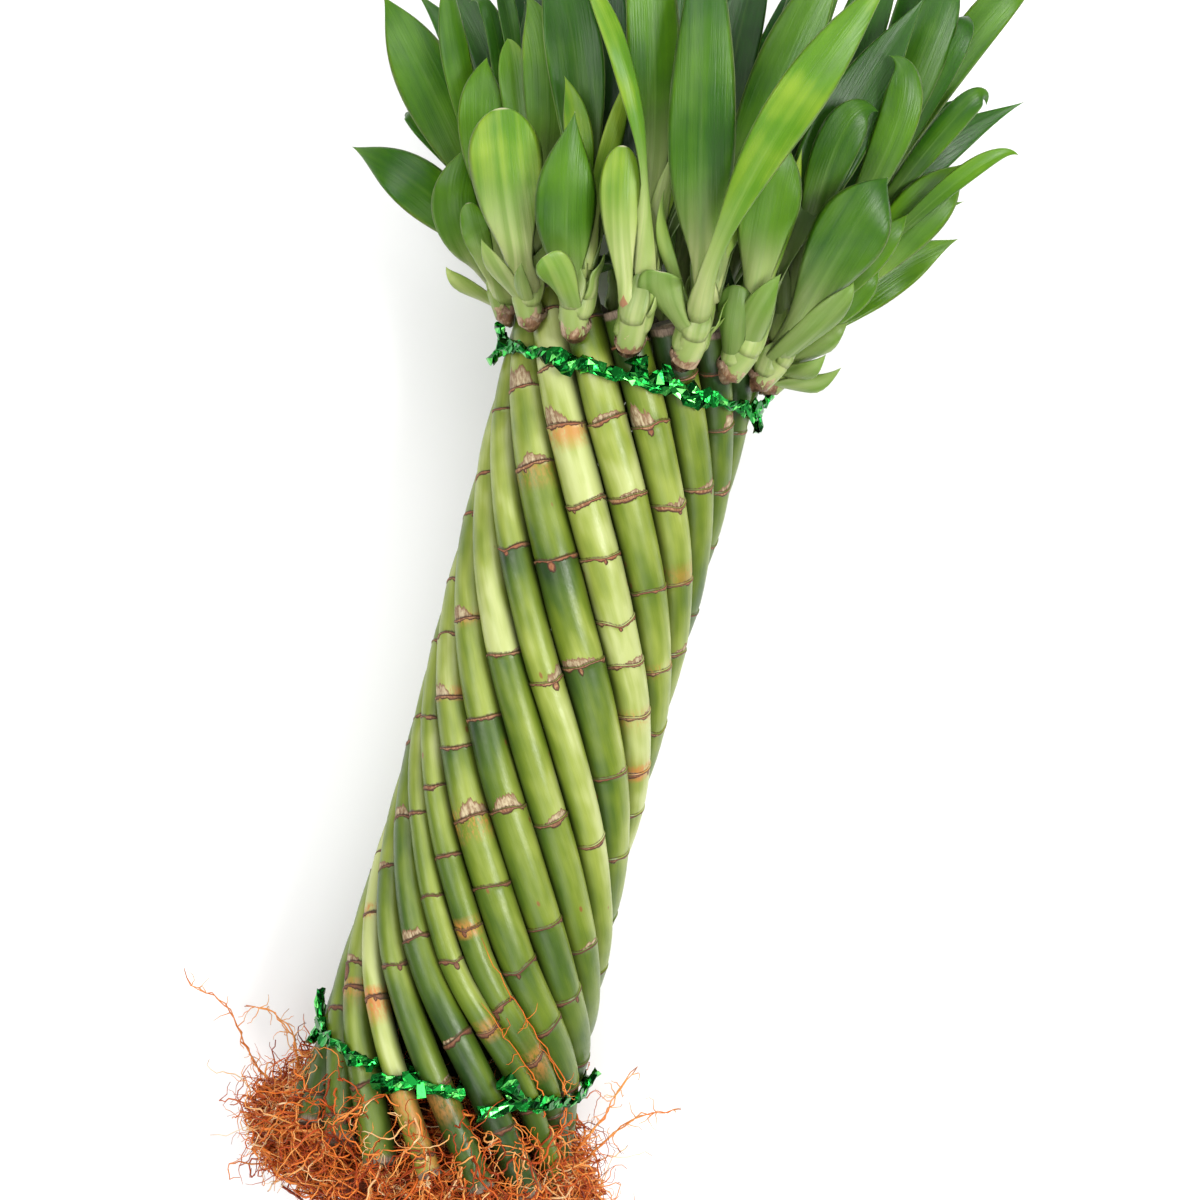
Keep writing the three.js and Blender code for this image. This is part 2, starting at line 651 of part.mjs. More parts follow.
// Long roots that stray out of the mat, as points chosen by hand
const STRAYS = [
  [[-38, -30, -18], [-46, -28, -22], [-56, -21, -26], [-62, -14, -30], [-68, -11, -32], [-75, -11, -34], [-78, -7, -35]],
  [[-36, -22, -2], [-42, -8, -5], [-50, -4, -9], [-57, -6, -13]],
  [[38, -26, -8], [46, -16, -11], [53, -8, -15], [64, -5, -20]],
  [[36, -20, 8], [42, -4, 12], [47, 12, 12]],
];

function matCore() {
  const ball = new THREE.SphereGeometry(1, 14, 9);
  ball.deleteAttribute('normal');
  ball.deleteAttribute('uv');
  const welded = BufferGeometryUtils.mergeVertices(ball);
  const place = welded.attributes.position;
  const draw = seeded(71);
  for (let i = 0; i < place.count; i++) {
    const lump = 1 - MAT_LUMPS + 2 * MAT_LUMPS * draw();
    const point = new THREE.Vector3().fromBufferAttribute(place, i).multiplyScalar(lump);
    point.multiply(MAT_SIZE).add(MAT_CENTRE);
    place.setXYZ(i, point.x, point.y, point.z);
  }
  return solid(Array.from(place.array), Array.from(welded.index.array));
}

// One root: it leaves the core, wanders over it, and its end stands clear
function strand(draw) {
  const rise = 1.35 * draw() - 1;
  const around = 2 * Math.PI * draw();
  const flat = Math.sqrt(1 - rise * rise);
  const way = new THREE.Vector3(flat * Math.cos(around), rise, flat * Math.sin(around));
  const axis = new THREE.Vector3(draw() - 0.5, draw() - 0.5, draw() - 0.5).cross(way).normalize();
  const [least, spread] = STRAND_TURN;
  return STRAND_REACH.map((reach) => {
    const point = way.clone().multiply(MAT_SIZE).multiplyScalar(reach + STRAND_SPREAD * draw());
    way.applyAxisAngle(axis, least + spread * draw());
    axis.applyAxisAngle(way, draw() - 0.5);
    return point.add(MAT_CENTRE);
  });
}

function taperedRoot(points) {
  const last = points.length - 1;
  return tube(points, points.map((_, i) => STRAND_RADIUS * (1 - (0.5 * i) / last)), STRAND_SIDES);
}

function roots(ties) {
  const draw = seeded(72);
  const laid = STRAYS.map((points) => taperedRoot(points.map((p) => new THREE.Vector3(...p))));
  while (laid.length < STRANDS) {
    const next = taperedRoot(strand(draw));
    if (laid.every((other) => other.intersect(next).isEmpty())) {
      laid.push(next);
    }
  }
  let mat = laid.reduce((sum, next) => sum.add(next), matCore());
  CANES.forEach((_, index) => {
    mat = mat.subtract(cane(index, CLEARANCE));
  });
  mat = mat.subtract(ties).subtract(floorBlock());
  return largest(mat);
}

function largest(manifold) {
  return manifold.decompose().sort((a, b) => b.volume() - a.volume())[0];
}

// Assembly

const bundle = new THREE.Group();
bundle.rotation.x = TILT;
bundle.position.set(-ORIGIN[0], -ORIGIN[1], AXIS_HEIGHT);

function place(name, manifold, material) {
  const mesh = new THREE.Mesh(geometryOf(manifold), material);
  mesh.name = name;
  bundle.add(mesh);
}

function finish(color, roughness, metalness = 0) {
  return new THREE.MeshStandardMaterial({ color, roughness, metalness });
}

const numberOf = (index) => String(index + 1).padStart(2, '0');
const leaves = [...FRONT_LEAVES, ...lowLeaves()];

CANES.forEach((_, index) => {
  place(`cane_${numberOf(index)}`, cane(index), finish('#9fb650', 0.45));
});

CANES.forEach((_, index) => {
  place(`shoot_${numberOf(index)}`, shoot(index, leaves), finish('#4f8f2c', 0.5));
});

place('tie_top', upperTie(), finish('#16a23e', 0.25, 0.8));
place('tie_bottom', lowerTie(), finish('#16a23e', 0.25, 0.8));
place('roots', roots(lowerTie(2 * CLEARANCE)), finish('#b5512a', 0.8));

const model = new THREE.Group();
model.add(bundle);

export default model;
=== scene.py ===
"""Looks of the lucky bamboo bunch: canes, leafy shoots, foil ties and roots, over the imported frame."""

import math
from functools import lru_cache

import bpy
from mathutils import Matrix, Vector


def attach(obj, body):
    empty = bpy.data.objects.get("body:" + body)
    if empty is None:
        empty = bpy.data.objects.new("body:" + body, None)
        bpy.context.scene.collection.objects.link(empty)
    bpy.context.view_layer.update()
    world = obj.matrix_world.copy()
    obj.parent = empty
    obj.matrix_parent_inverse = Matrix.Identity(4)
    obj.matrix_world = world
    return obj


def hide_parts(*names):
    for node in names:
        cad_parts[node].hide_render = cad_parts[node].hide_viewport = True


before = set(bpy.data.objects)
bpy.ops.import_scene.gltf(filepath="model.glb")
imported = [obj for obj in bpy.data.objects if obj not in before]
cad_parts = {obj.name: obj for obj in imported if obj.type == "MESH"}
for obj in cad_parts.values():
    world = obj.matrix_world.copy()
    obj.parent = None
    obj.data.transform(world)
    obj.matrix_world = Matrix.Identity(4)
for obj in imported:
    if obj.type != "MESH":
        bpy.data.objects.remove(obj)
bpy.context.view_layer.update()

# The bunch's own frame, as in the part's source: millimetres, axis along y, lower tie at y = 0, +z up
TIE_SPAN = 182.8
CANE_TOP = 201
CANE_FOOT = -24
TUBE_RADIUS = 31.9
TUBE_RADIUS_TOP = 32.6
TUBE_RADIUS_FOOT = 35
FOOT_LENGTH = 64  # over which the tube widens to its foot
TWIST_RATE = 1.15  # degrees a millimetre
TWIST_GAIN = 0.22
TWIST_CURVE = 1.5
TILT = math.radians(3)
AXIS_HEIGHT = 40
ORIGIN = (-1.85, 129.3)
CANE_GAP = 0.28
CANE_WAIST = 0.972  # of a cane between its rings, as a share of its radius
TUCK_GAP = 2.2  # more room for the tie beside a tucked cane
TUCK_LENGTH = 34
PINNED_CANE = 3  # the cane whose azimuth is set, and from which the others are counted
PINNED_AZIMUTH = 5.5
TUCKED_CANES = (13, 15)  # that the lower tie runs inside of
MM = 0.001
PHASES = 6.28  # a random phase is a share of this

# Each cane: its diameter, the heights of the rings that show, and the usual spacing of the others
CANES = [
    (8.3, [], 22),
    (8.6, [148.7, 162.7, 177.4], 15),
    (9.3, [129.4, 161.7], 24),
    (9.1, [99.9, 119.2, 137.2, 155.7, 173.4], 19),
    (9.6, [99.2, 114.4, 133.9, 154.9, 171.7], 19),
    (9.8, [76.2, 87.9, 102.4, 114.7, 124.7, 138.7, 150.9, 167.7], 14),
    (10.8, [64.7, 85.9, 111.9, 135.4, 155.7, 173.4], 21),
    (8.1, [32.7, 68.4, 105.7, 135.2, 166.2], 30),
    (8.8, [40.7, 71.7, 108.7, 148.7], 30),
    (9.2, [27.9, 45.4, 71.7, 91.9, 113.4, 138.2], 21),
    (9.3, [19.9, 34.2, 51.9, 66.9, 82.4, 92.9, 106.7], 15),
    (6.6, [11.9, 23.9, 40.7, 55.7, 70.9, 86.4], 16),
    (5.9, [17.4, 31.4, 44.7, 62.7, 84.9], 17),
    (7.8, [13.2, 33.4, 58.7, 77.4], 21),
    (7.1, [0.7, 25.2, 45.4, 70.2], 22),
    (5.8, [15.2, 33.2, 46.7], 16),
    (8.3, [13.4, 19.2], 19),
]
UNSEEN_START = 90  # where the rings of a cane that doesn't show are counted from
RING_TO_TOP = 6
RING_TO_FOOT = 5


def seeded(seed):
    """The same draws as in the part's source."""
    state = seed

    def draw():
        nonlocal state
        state = (state + 0x6D2B79F5) & 0xFFFFFFFF
        t = state
        t = ((t ^ (t >> 15)) * (t | 1)) & 0xFFFFFFFF
        t ^= (t + (((t ^ (t >> 7)) * (t | 61)) & 0xFFFFFFFF)) & 0xFFFFFFFF
        return ((t ^ (t >> 14)) & 0xFFFFFFFF) / 4294967296

    return draw


def either_way(draw, width):
    """A random number round 0, up to half of that width from it."""
    return width * (draw() - 0.5)


def any_way(draw):
    return Vector((draw() - 0.5, draw() - 0.5, draw() - 0.5))


def smooth(t):
    c = min(1.0, max(0.0, t))
    return c * c * (3 - 2 * c)


def mix(a, b, t):
    return a + (b - a) * t


def to_world(point):
    """From the bunch's frame, in millimetres, to the row frame, in metres."""
    x, y, z = point
    c, s = math.cos(TILT), math.sin(TILT)
    return Vector((x - ORIGIN[0], y * c - z * s - ORIGIN[1], y * s + z * c + AXIS_HEIGHT)) * MM


def turned(direction):
    """A direction of the bunch's frame, in the row frame."""
    return Matrix.Rotation(TILT, 3, "X") @ direction


def up_by(rise):
    return Vector((0, rise, 0))


def outward_at(point):
    """The direction from the bunch's axis to a point."""
    return Vector((point.x, 0, point.z)).normalized()


def square_to(along, way):
    """The direction square to along that is nearest to way."""
    return (way - along * way.dot(along)).normalized()


def from_to(first, second, angle):
    """The direction at that angle from the first towards the second."""
    return first * math.cos(angle) + second * math.sin(angle)


def round_point(turn, radius, y):
    return Vector((radius * math.sin(turn), y, radius * math.cos(turn)))


# The twisted tube of canes


def tube_radius(y):
    top = (TUBE_RADIUS_TOP - TUBE_RADIUS) * smooth((y - TIE_SPAN / 2) / (TIE_SPAN / 2))
    foot = (TUBE_RADIUS_FOOT - TUBE_RADIUS) * smooth((FOOT_LENGTH - y) / FOOT_LENGTH)
    return TUBE_RADIUS + top + foot


def twist(y):
    """Degrees that the canes have turned through at that height, counted from the upper tie."""
    left = 1 - min(1.0, max(0.0, y / TIE_SPAN))
    gained = TWIST_GAIN * TIE_SPAN * left ** (TWIST_CURVE + 1) / (TWIST_CURVE + 1)
    return TWIST_RATE * (TIE_SPAN - y) + gained


def pitch(k, y):
    """The room that a cane and the next one take, from middle to middle."""
    following = (k + 1) % len(CANES)
    touching = (CANES[k][0] + CANES[following][0]) / 2 + CANE_GAP
    tucked = k in TUCKED_CANES or following in TUCKED_CANES
    return touching + (TUCK_GAP * smooth((TUCK_LENGTH - y) / TUCK_LENGTH) if tucked else 0)


def azimuth(index, y):
    """The angle round the bunch at which a cane is, from +z towards +x."""

    def room(start, end):
        return sum(pitch(k, y) for k in range(start, end))

    step = -room(PINNED_CANE, index) + room(index, PINNED_CANE)
    return math.radians(PINNED_AZIMUTH + twist(y) + 360 * step / room(0, len(CANES)))


def cane_point(index, y):
    """A point on a cane's axis. Past the ties it runs on straight."""
    held = min(TIE_SPAN, max(0.0, y))

    def at(height):
        return round_point(azimuth(index, height), tube_radius(height) - CANES[index][0] / 2, height)

    point = at(held)
    if y != held:
        inner = at(held + (-0.5 if y > held else 0.5))
        point = point + (point - inner) * (abs(y - held) / 0.5)
    return point


def ring_heights(index):
    """The rings that show, and the others up and down the cane at about its usual spacing."""
    _, rings, spacing = CANES[index]
    draw = seeded(100 + index)

    def step():
        return spacing * (0.85 + 0.3 * draw())

    heights = list(rings)
    up = (rings[-1] if rings else UNSEEN_START) + step()
    while up < CANE_TOP - RING_TO_TOP:
        heights.append(up)
        up += step()
    down = (rings[0] if rings else UNSEEN_START + spacing) - step()
    while down > CANE_FOOT + RING_TO_FOOT:
        heights.insert(0, down)
        down -= step()
    return heights


def cane_ends(index):
    draw = seeded(300 + index)
    return CANE_FOOT + 2 * draw(), CANE_TOP - 3 * draw()


# Node trees


class NodeTree:
    """Short ways to add nodes to a tree."""

    def __init__(self, tree):
        self.tree = tree

    def join(self, value, socket):
        """Links a value that comes from a node, and sets any other."""
        if isinstance(value, bpy.types.NodeSocket):
            self.tree.links.new(value, socket)
        else:
            socket.default_value = value

    def add(self, kind, inputs=(), **options):
        node = self.tree.nodes.new(kind)
        for key, value in options.items():
            setattr(node, key, value)
        for key, value in dict(inputs).items():
            self.join(value, node.inputs[key])
        return node

    def math(self, operation, a, b=0.0, clamp=False):
        return self.add("ShaderNodeMath", {0: a, 1: b}, operation=operation, use_clamp=clamp).outputs[0]

    def plus(self, a, b, clamp=False):
        return self.math("ADD", a, b, clamp)

    def minus(self, a, b):
        return self.math("SUBTRACT", a, b)

    def times(self, a, b):
        return self.math("MULTIPLY", a, b)

    def over(self, a, b):
        return self.math("DIVIDE", a, b)

    def greater(self, a, b):
        return self.math("MAXIMUM", a, b)

    def vectors(self, operation, a, b):
        return self.add("ShaderNodeVectorMath", {0: a, 1: b}, operation=operation).outputs


class Finish(NodeTree):
    """A material, and what its finish is mixed from."""

    def __init__(self, name):
        self.material = bpy.data.materials.new(name)
        self.material.use_nodes = True
        super().__init__(self.material.node_tree)
        self.surface = self.tree.nodes["Principled BSDF"]

    def set(self, socket, value):
        self.join(value, self.surface.inputs[socket])

    def place(self):
        return self.add("ShaderNodeTexCoord").outputs["Object"]

    def attribute(self, name, part="Fac"):
        return self.add("ShaderNodeAttribute", attribute_name=name).outputs[part]

    def split(self, vector):
        return self.add("ShaderNodeSeparateXYZ", {0: vector}).outputs

    def within(self, value, low, high, to_low=0.0, to_high=1.0):
        """Goes smoothly from to_low to to_high while the value goes from low to high."""
        inputs = {"Value": value, "From Min": low, "From Max": high, "To Min": to_low, "To Max": to_high}
        return self.add("ShaderNodeMapRange", inputs, interpolation_type="SMOOTHSTEP").outputs["Result"]

    def scaled(self, vector, factors):
        return self.vectors("MULTIPLY", vector, factors)[0]

    def noise(self, vector, scale, detail=2.0, roughness=0.5, distortion=0.0):
        inputs = {"Vector": vector, "Scale": scale, "Detail": detail, "Roughness": roughness}
        inputs["Distortion"] = distortion
        return self.add("ShaderNodeTexNoise", inputs).outputs["Fac"]

    def varied(self, value, noise, amount, clamp=False):
        """The value, raised and lowered by a noise."""
        return self.plus(value, self.times(self.minus(noise, 0.5), amount), clamp)

    def ramp(self, value, stops):
        node = self.add("ShaderNodeValToRGB", {"Fac": value})
        elements = node.color_ramp.elements
        while len(elements) < len(stops):
            elements.new(0.5)
        for element, (position, colour) in zip(elements, stops):
            element.position = position
            element.color = (*colour, 1)
        return node.outputs["Color"]

    def blend(self, a, b, share):
        """From one colour to the other, as the share goes from 0 to 1."""
        node = self.add("ShaderNodeMix", {0: share}, data_type="RGBA")
        for key, colour in ((6, a), (7, b)):
            self.join((*colour, 1) if isinstance(colour, tuple) else colour, node.inputs[key])
        return node.outputs[2]

    def bump(self, height, distance, strength=1.0):
        inputs = {"Height": height, "Distance": distance, "Strength": strength}
        self.set("Normal", self.add("ShaderNodeBump", inputs).outputs["Normal"])

    def glow_within(self, weight, radius, scale):
        """Light that goes into living tissue and out again beside."""
        self.set("Subsurface Weight", weight)
        self.set("Subsurface Radius", radius)
        self.set("Subsurface Scale", scale)


# Finishes. A colour ramp is a list of places from 0 to 1 with the colour there.

CANE_GREENS = [
    (0.0, (0.38, 0.42, 0.15)),
    (0.2, (0.232, 0.282, 0.042)),
    (0.45, (0.118, 0.170, 0.010)),
    (0.7, (0.048, 0.094, 0.005)),
    (1.0, (0.013, 0.038, 0.004)),
]
RUST_ORANGE = (0.44, 0.17, 0.035)
FLECK_BROWN = (0.20, 0.06, 0.015)
# Dark brown of the edges of rings and buds, and of the painted shadow in the crease over a ring
DARK_BARK_AND_SHADOW = (0.055, 0.017, 0.007)
TAN_SHADED = (0.17, 0.060, 0.022)
TAN_LIGHT = (0.36, 0.20, 0.09)
TAN_REDDISH = (0.23, 0.070, 0.024)
TAN_AT_FOOT = (0.11, 0.036, 0.016)
PAPER_BROWN = (0.19, 0.11, 0.05)
PAPER_PALE = (0.46, 0.38, 0.23)
PAPER_EDGE = (0.20, 0.10, 0.05)
CUT_BARK = [(0.3, (0.075, 0.045, 0.03)), (0.7, (0.29, 0.215, 0.15))]
CUT_WOOD = [(0.35, (0.12, 0.07, 0.035)), (0.65, (0.38, 0.27, 0.15))]
CUT_PITH = (0.46, 0.38, 0.24)
# Painted shade in the grooves between the canes and on their inner side
GROOVE_SHADE_COLOUR = (0.02, 0.03, 0.006)
GROOVE_SHADE = 0.72  # how much painted shade darkens the canes towards the grooves between them

LEAF_GREENS = [
    (0.0, (0.25, 0.35, 0.030)),
    (0.3, (0.072, 0.180, 0.006)),
    (0.65, (0.019, 0.074, 0.003)),
    (1.0, (0.006, 0.032, 0.003)),
]
BASE_PALE = (0.41, 0.45, 0.19)
BASE_GREEN = (0.25, 0.32, 0.09)
RIB_GREEN = (0.16, 0.27, 0.06)
EDGE_GREEN = (0.21, 0.32, 0.08)
TIP_STRAW = (0.55, 0.50, 0.34)
MARK_BROWN = (0.30, 0.15, 0.075)
MARK_PLACE = 0.13  # where along its leaf the brown mark is
TORN_BROWNS = [(0.36, (0.075, 0.035, 0.018)), (0.5, (0.20, 0.105, 0.055)), (0.64, (0.42, 0.30, 0.19))]
HUSK_BROWNS = [(0.32, (0.055, 0.028, 0.016)), (0.5, (0.16, 0.09, 0.05)), (0.68, (0.40, 0.31, 0.20))]

# The foil's green, from dark to light, which each facet takes as its painted reflection
FOIL_GREENS_AND_REFLECTIONS = [
    (0.0, (0.002, 0.020, 0.004)),
    (0.4, (0.005, 0.125, 0.018)),
    (0.8, (0.018, 0.37, 0.050)),
    (1.0, (0.15, 0.66, 0.13)),
]

ROOT_HUES = [
    (0.0, (0.12, 0.014, 0.003)),
    (0.3, (0.36, 0.050, 0.006)),
    (0.6, (0.64, 0.155, 0.018)),
    (0.85, (0.73, 0.31, 0.08)),
    (1.0, (0.77, 0.55, 0.31)),
]
ROOT_TIP = (0.12, 0.04, 0.02)
MAT_BROWNS = [(0.3, (0.04, 0.008, 0.004)), (0.52, (0.18, 0.036, 0.012)), (0.72, (0.42, 0.11, 0.03))]
MAT_RED = (0.28, 0.07, 0.03)


def cane_finish():
    """Satin green skin, with brown rings, bud scars, papery remnants, orange patches and dry ends, and
    painted shade: on one side, in the grooves between the canes and in the crease over each ring.

    The attribute "skin" is a place on the cane in millimetres: out of the tube, aside and up the cane. The
    attributes "up" and "down" are the distances from the ring below and to the ring above.
    """
    f = Finish("cane_skin")
    skin = f.attribute("skin", "Vector")
    outward, aside, height = f.split(skin)
    up, down, girth = f.attribute("up"), f.attribute("down"), f.attribute("plain_girth")

    def drawn_out(share, scale, detail, roughness=0.5):
        """A noise that runs along the cane, with that share of its lengthwise detail."""
        return f.noise(f.scaled(skin, (1, 1, share)), scale, detail, roughness)

    streak = drawn_out(0.05, 0.8, 3, 0.6)
    cloud = drawn_out(0.5, 0.13, 2)
    grain = drawn_out(0.5, 1.7, 4, 0.65)
    fray = drawn_out(0.12, 0.55, 3, 0.6)
    swell = drawn_out(0.12, 0.3, 3, 0.5)
    fibres = drawn_out(0.2, 1.8, 4, 0.7)
    wobble = f.minus(grain, 0.5)

    def facing(name):
        """How squarely the skin faces a marked direction, from -1 to 1, and that mark's size."""
        turn = f.split(f.attribute(name, "Vector"))
        along = f.plus(f.times(turn[0], outward), f.times(turn[1], aside))
        return f.over(along, girth), turn[2]

    def around(name):
        """Distance round the cane from a marked direction, and that mark's size."""
        square, size = facing(name)
        chord = f.math("SQRT", f.greater(f.minus(2.0, f.times(square, 2.0)), 0.0))
        return f.times(chord, girth), size

    # The green skin, its painted shade on one side, its orange patches and its flecks
    shade = f.varied(f.varied(f.attribute("tone"), streak, 0.25), cloud, 1.1)
    # Painted shade: each cane is darker on one side
    painted_shade_side, amount = facing("painted_shade_side")
    shade = f.plus(shade, f.times(painted_shade_side, amount), clamp=True)
    colour = f.ramp(shade, CANE_GREENS)
    orange = f.times(f.attribute("rust"), f.within(f.plus(cloud, grain), 0.8, 1.15))
    colour = f.blend(colour, RUST_ORANGE, orange)
    spots = f.add("ShaderNodeTexVoronoi", {"Vector": f.scaled(skin, (1, 1, 0.6)), "Scale": 0.22}).outputs
    fleck = f.times(f.within(spots["Distance"], 0.12, 0.06), f.within(spots["Color"], 0.70, 0.74))
    colour = f.blend(colour, FLECK_BROWN, f.times(fleck, 0.8))

    # The brown ring under each joint, and a painted shadow line in the crease over it
    depth = f.plus(0.46, f.times(f.within(swell, 0.40, 0.68), 0.9))
    reach = f.over(f.plus(down, f.times(wobble, 0.35)), depth)
    ring = f.within(reach, 1.0, 0.8)
    ring_edge = f.greater(f.within(reach, 0.45, 0.75), f.within(down, 0.25, 0.08))
    # Painted shadow: a dark line in the crease just over each ring
    crease_shadow = f.within(f.plus(up, wobble), 0.55, 0.05)

    # The bud under a ring: an oval round its middle
    beside, size = around("bud")
    flat = f.over(beside, f.times(size, 0.75))
    drop = f.over(f.minus(down, size), f.times(size, 1.2))
    apart = f.math("SQRT", f.plus(f.math("POWER", flat, 2.0), f.times(drop, drop)))
    apart = f.plus(apart, f.times(wobble, 0.5))
    bud, bud_edge = f.within(apart, 1.0, 0.85), f.within(apart, 0.5, 0.8)

    # The papery remnant over a ring: an arch with a frayed edge
    beside, size = around("scar")
    spread = f.math("POWER", f.over(beside, f.times(girth, 0.95)), 2.0)
    apart = f.varied(f.plus(f.over(up, size), spread), fray, 1.8)
    apart = f.plus(apart, f.times(wobble, 0.5))
    scar, scar_edge = f.within(apart, 1.0, 0.88), f.within(apart, 0.68, 0.9)

    tan = f.blend(TAN_SHADED, TAN_LIGHT, f.within(grain, 0.38, 0.62))
    tan = f.blend(tan, TAN_REDDISH, f.within(cloud, 0.47, 0.60, 0.0, 0.7))
    tan = f.blend(tan, TAN_AT_FOOT, f.within(height, 120, 30, 0.0, 0.65))
    paper = f.blend(PAPER_BROWN, PAPER_PALE, f.within(f.plus(streak, wobble), 0.30, 0.75))
    colour = f.blend(colour, f.blend(paper, PAPER_EDGE, scar_edge), scar)
    colour = f.blend(colour, f.blend(tan, DARK_BARK_AND_SHADOW, bud_edge), bud)
    # Painted shadow in the crease
    colour = f.blend(colour, DARK_BARK_AND_SHADOW, f.times(crease_shadow, 0.9))
    colour = f.blend(colour, f.blend(tan, DARK_BARK_AND_SHADOW, ring_edge), ring)

    # The dry ends: bark, then wood with its pith where the cane is cut
    dry = f.within(f.plus(f.attribute("dry"), f.times(wobble, 0.3)), 0.3, 0.6)
    colour = f.blend(colour, f.ramp(fibres, CUT_BARK), dry)
    core = f.plus(f.attribute("core"), f.times(wobble, 0.25))
    wood = f.ramp(f.noise(f.place(), 1500, 2, 0.6), CUT_WOOD)
    wood = f.blend(wood, CUT_PITH, f.within(core, 0.5, 0.15, 0.0, 0.8))
    colour = f.blend(colour, wood, f.within(core, 0.88, 0.78))
    # Painted shade: the skin darkens as it turns away from the tube's outside, into the grooves between the
    # canes
    groove_shade = f.within(f.over(outward, girth), 0.75, 0.0, 0.0, GROOVE_SHADE)
    f.set("Base Color", f.blend(colour, GROOVE_SHADE_COLOUR, groove_shade))

    marks = f.greater(f.greater(ring, bud), f.greater(scar, dry))
    f.set("Roughness", f.greater(f.times(marks, 0.68), f.within(grain, 0.3, 0.7, 0.33, 0.44)))
    f.set("Specular IOR Level", 0.42)
    relief = f.plus(f.times(streak, 0.35), f.times(grain, 0.2))
    f.bump(f.plus(relief, f.times(marks, f.plus(0.5, grain))), 0.0003, 0.6)
    return f.material


def leaf_finish():
    """Satin leaf: pale fleshy base, deep green blade with fine lengthwise veins and a light thin edge.

    The attribute "blade" is a place on the leaf: across it, from -1 to 1, and along it, from 0 to 1.
    """
    f = Finish("leaf_blade")
    across, along, _ = f.split(f.attribute("blade", "Vector"))
    reach = f.math("ABSOLUTE", across)
    place = f.place()
    veins = f.attribute("veins", "Vector")
    streaks = f.noise(veins, 1.0, 3, 0.6)
    bands = f.noise(veins, 0.22, 1)
    cloud = f.noise(place, 60, 2)
    tone = f.varied(f.varied(f.attribute("shade"), streaks, 0.10), bands, 0.28)
    colour = f.ramp(f.varied(tone, cloud, 0.6, clamp=True), LEAF_GREENS)
    base = f.blend(BASE_PALE, BASE_GREEN, f.within(bands, 0.35, 0.65))
    colour = f.blend(colour, base, f.times(f.attribute("pale"), f.within(cloud, 0.2, 0.6, 0.6, 1.0)))
    rib = f.times(f.within(reach, 0.09, 0.0), f.within(along, 0.2, 0.9, 0.25, 0.0))
    colour = f.blend(colour, RIB_GREEN, rib)
    colour = f.blend(colour, EDGE_GREEN, f.within(reach, 0.955, 0.985, 0.0, 0.5))
    colour = f.blend(colour, TIP_STRAW, f.within(along, 0.988, 0.998, 0.0, 0.7))
    beside = f.times(f.math("ABSOLUTE", f.minus(along, MARK_PLACE)), 16)
    mark = f.within(f.plus(f.times(reach, 2.6), beside), 1.0, 0.8)
    colour = f.blend(colour, MARK_BROWN, f.times(f.attribute("scarred"), mark))
    shreds = f.noise(f.scaled(place, (1, 0.35, 1)), 420, 3, 0.65)
    torn = f.varied(f.attribute("torn"), shreds, 1.5)
    f.set("Base Color", f.blend(colour, f.ramp(shreds, TORN_BROWNS), f.within(torn, 0.52, 0.62)))
    f.set("Roughness", f.within(streaks, 0.3, 0.7, 0.30, 0.38))
    f.set("Specular IOR Level", 0.24)
    f.glow_within(0.12, (0.004, 0.006, 0.002), 0.4)
    f.bump(f.plus(streaks, f.times(rib, -0.6)), 0.00025, 0.5)
    return f.material


def husk_finish():
    """Thin dry brown skin, where a shoot broke out of its cane."""
    f = Finish("dry_husk")
    place = f.place()
    grain = f.noise(place, 900, 4, 0.7)
    patch = f.noise(place, 220, 2)
    f.set("Base Color", f.ramp(f.plus(f.times(grain, 0.6), f.times(patch, 0.4)), HUSK_BROWNS))
    f.set("Roughness", 0.75)
    f.bump(grain, 0.0003, 0.7)
    return f.material


def foil_finish():
    """Crumpled metallic green foil: flat facets, each of its own depth of green, which is a painted
    reflection.
    """
    f = Finish("green_foil")
    # Painted reflection: each facet has its own depth of green
    f.set("Base Color", f.ramp(f.attribute("painted_reflection"), FOIL_GREENS_AND_REFLECTIONS))
    f.set("Metallic", 1.0)
    f.set("Roughness", 0.22)
    f.bump(f.noise(f.place(), 800, 1, 0.4), 0.0006, 0.3)
    return f.material


def root_finish():
    """Thin roots, from deep red-brown through orange to cream, with darker tips."""
    f = Finish("root_skin")
    place = f.place()
    grain = f.noise(place, 1400, 3, 0.6)
    patch = f.noise(place, 130, 2)
    colour = f.ramp(f.varied(f.attribute("hue"), patch, 0.6, clamp=True), ROOT_HUES)
    f.set("Base Color", f.blend(colour, ROOT_TIP, f.within(f.attribute("along"), 0.9, 1.0, 0.0, 0.6)))
    f.set("Roughness", f.within(grain, 0.3, 0.7, 0.42, 0.65))
    f.set("Specular IOR Level", 0.22)
    f.glow_within(0.15, (0.003, 0.001, 0.0005), 0.3)
    f.bump(grain, 0.0001, 0.5)
    return f.material


def mat_finish():
    """The dark tangle inside the roots, with threads and redder patches."""
    f = Finish("root_mat")
    place = f.place()
    threads = f.noise(place, 340, 5, 0.7, 2.5)
    patch = f.noise(place, 90, 2)
    colour = f.ramp(threads, MAT_BROWNS)
    f.set("Base Color", f.blend(colour, MAT_RED, f.within(patch, 0.45, 0.6, 0.0, 0.6)))
    f.set("Roughness", 0.8)
    f.set("Specular IOR Level", 0.2)
    f.bump(threads, 0.003, 1.0)
    return f.material


CANE_SKIN = cane_finish()
LEAF_BLADE = leaf_finish()
DRY_HUSK = husk_finish()
GREEN_FOIL = foil_finish()
ROOT_SKIN = root_finish()
ROOT_MAT = mat_finish()


# Geometry node trees


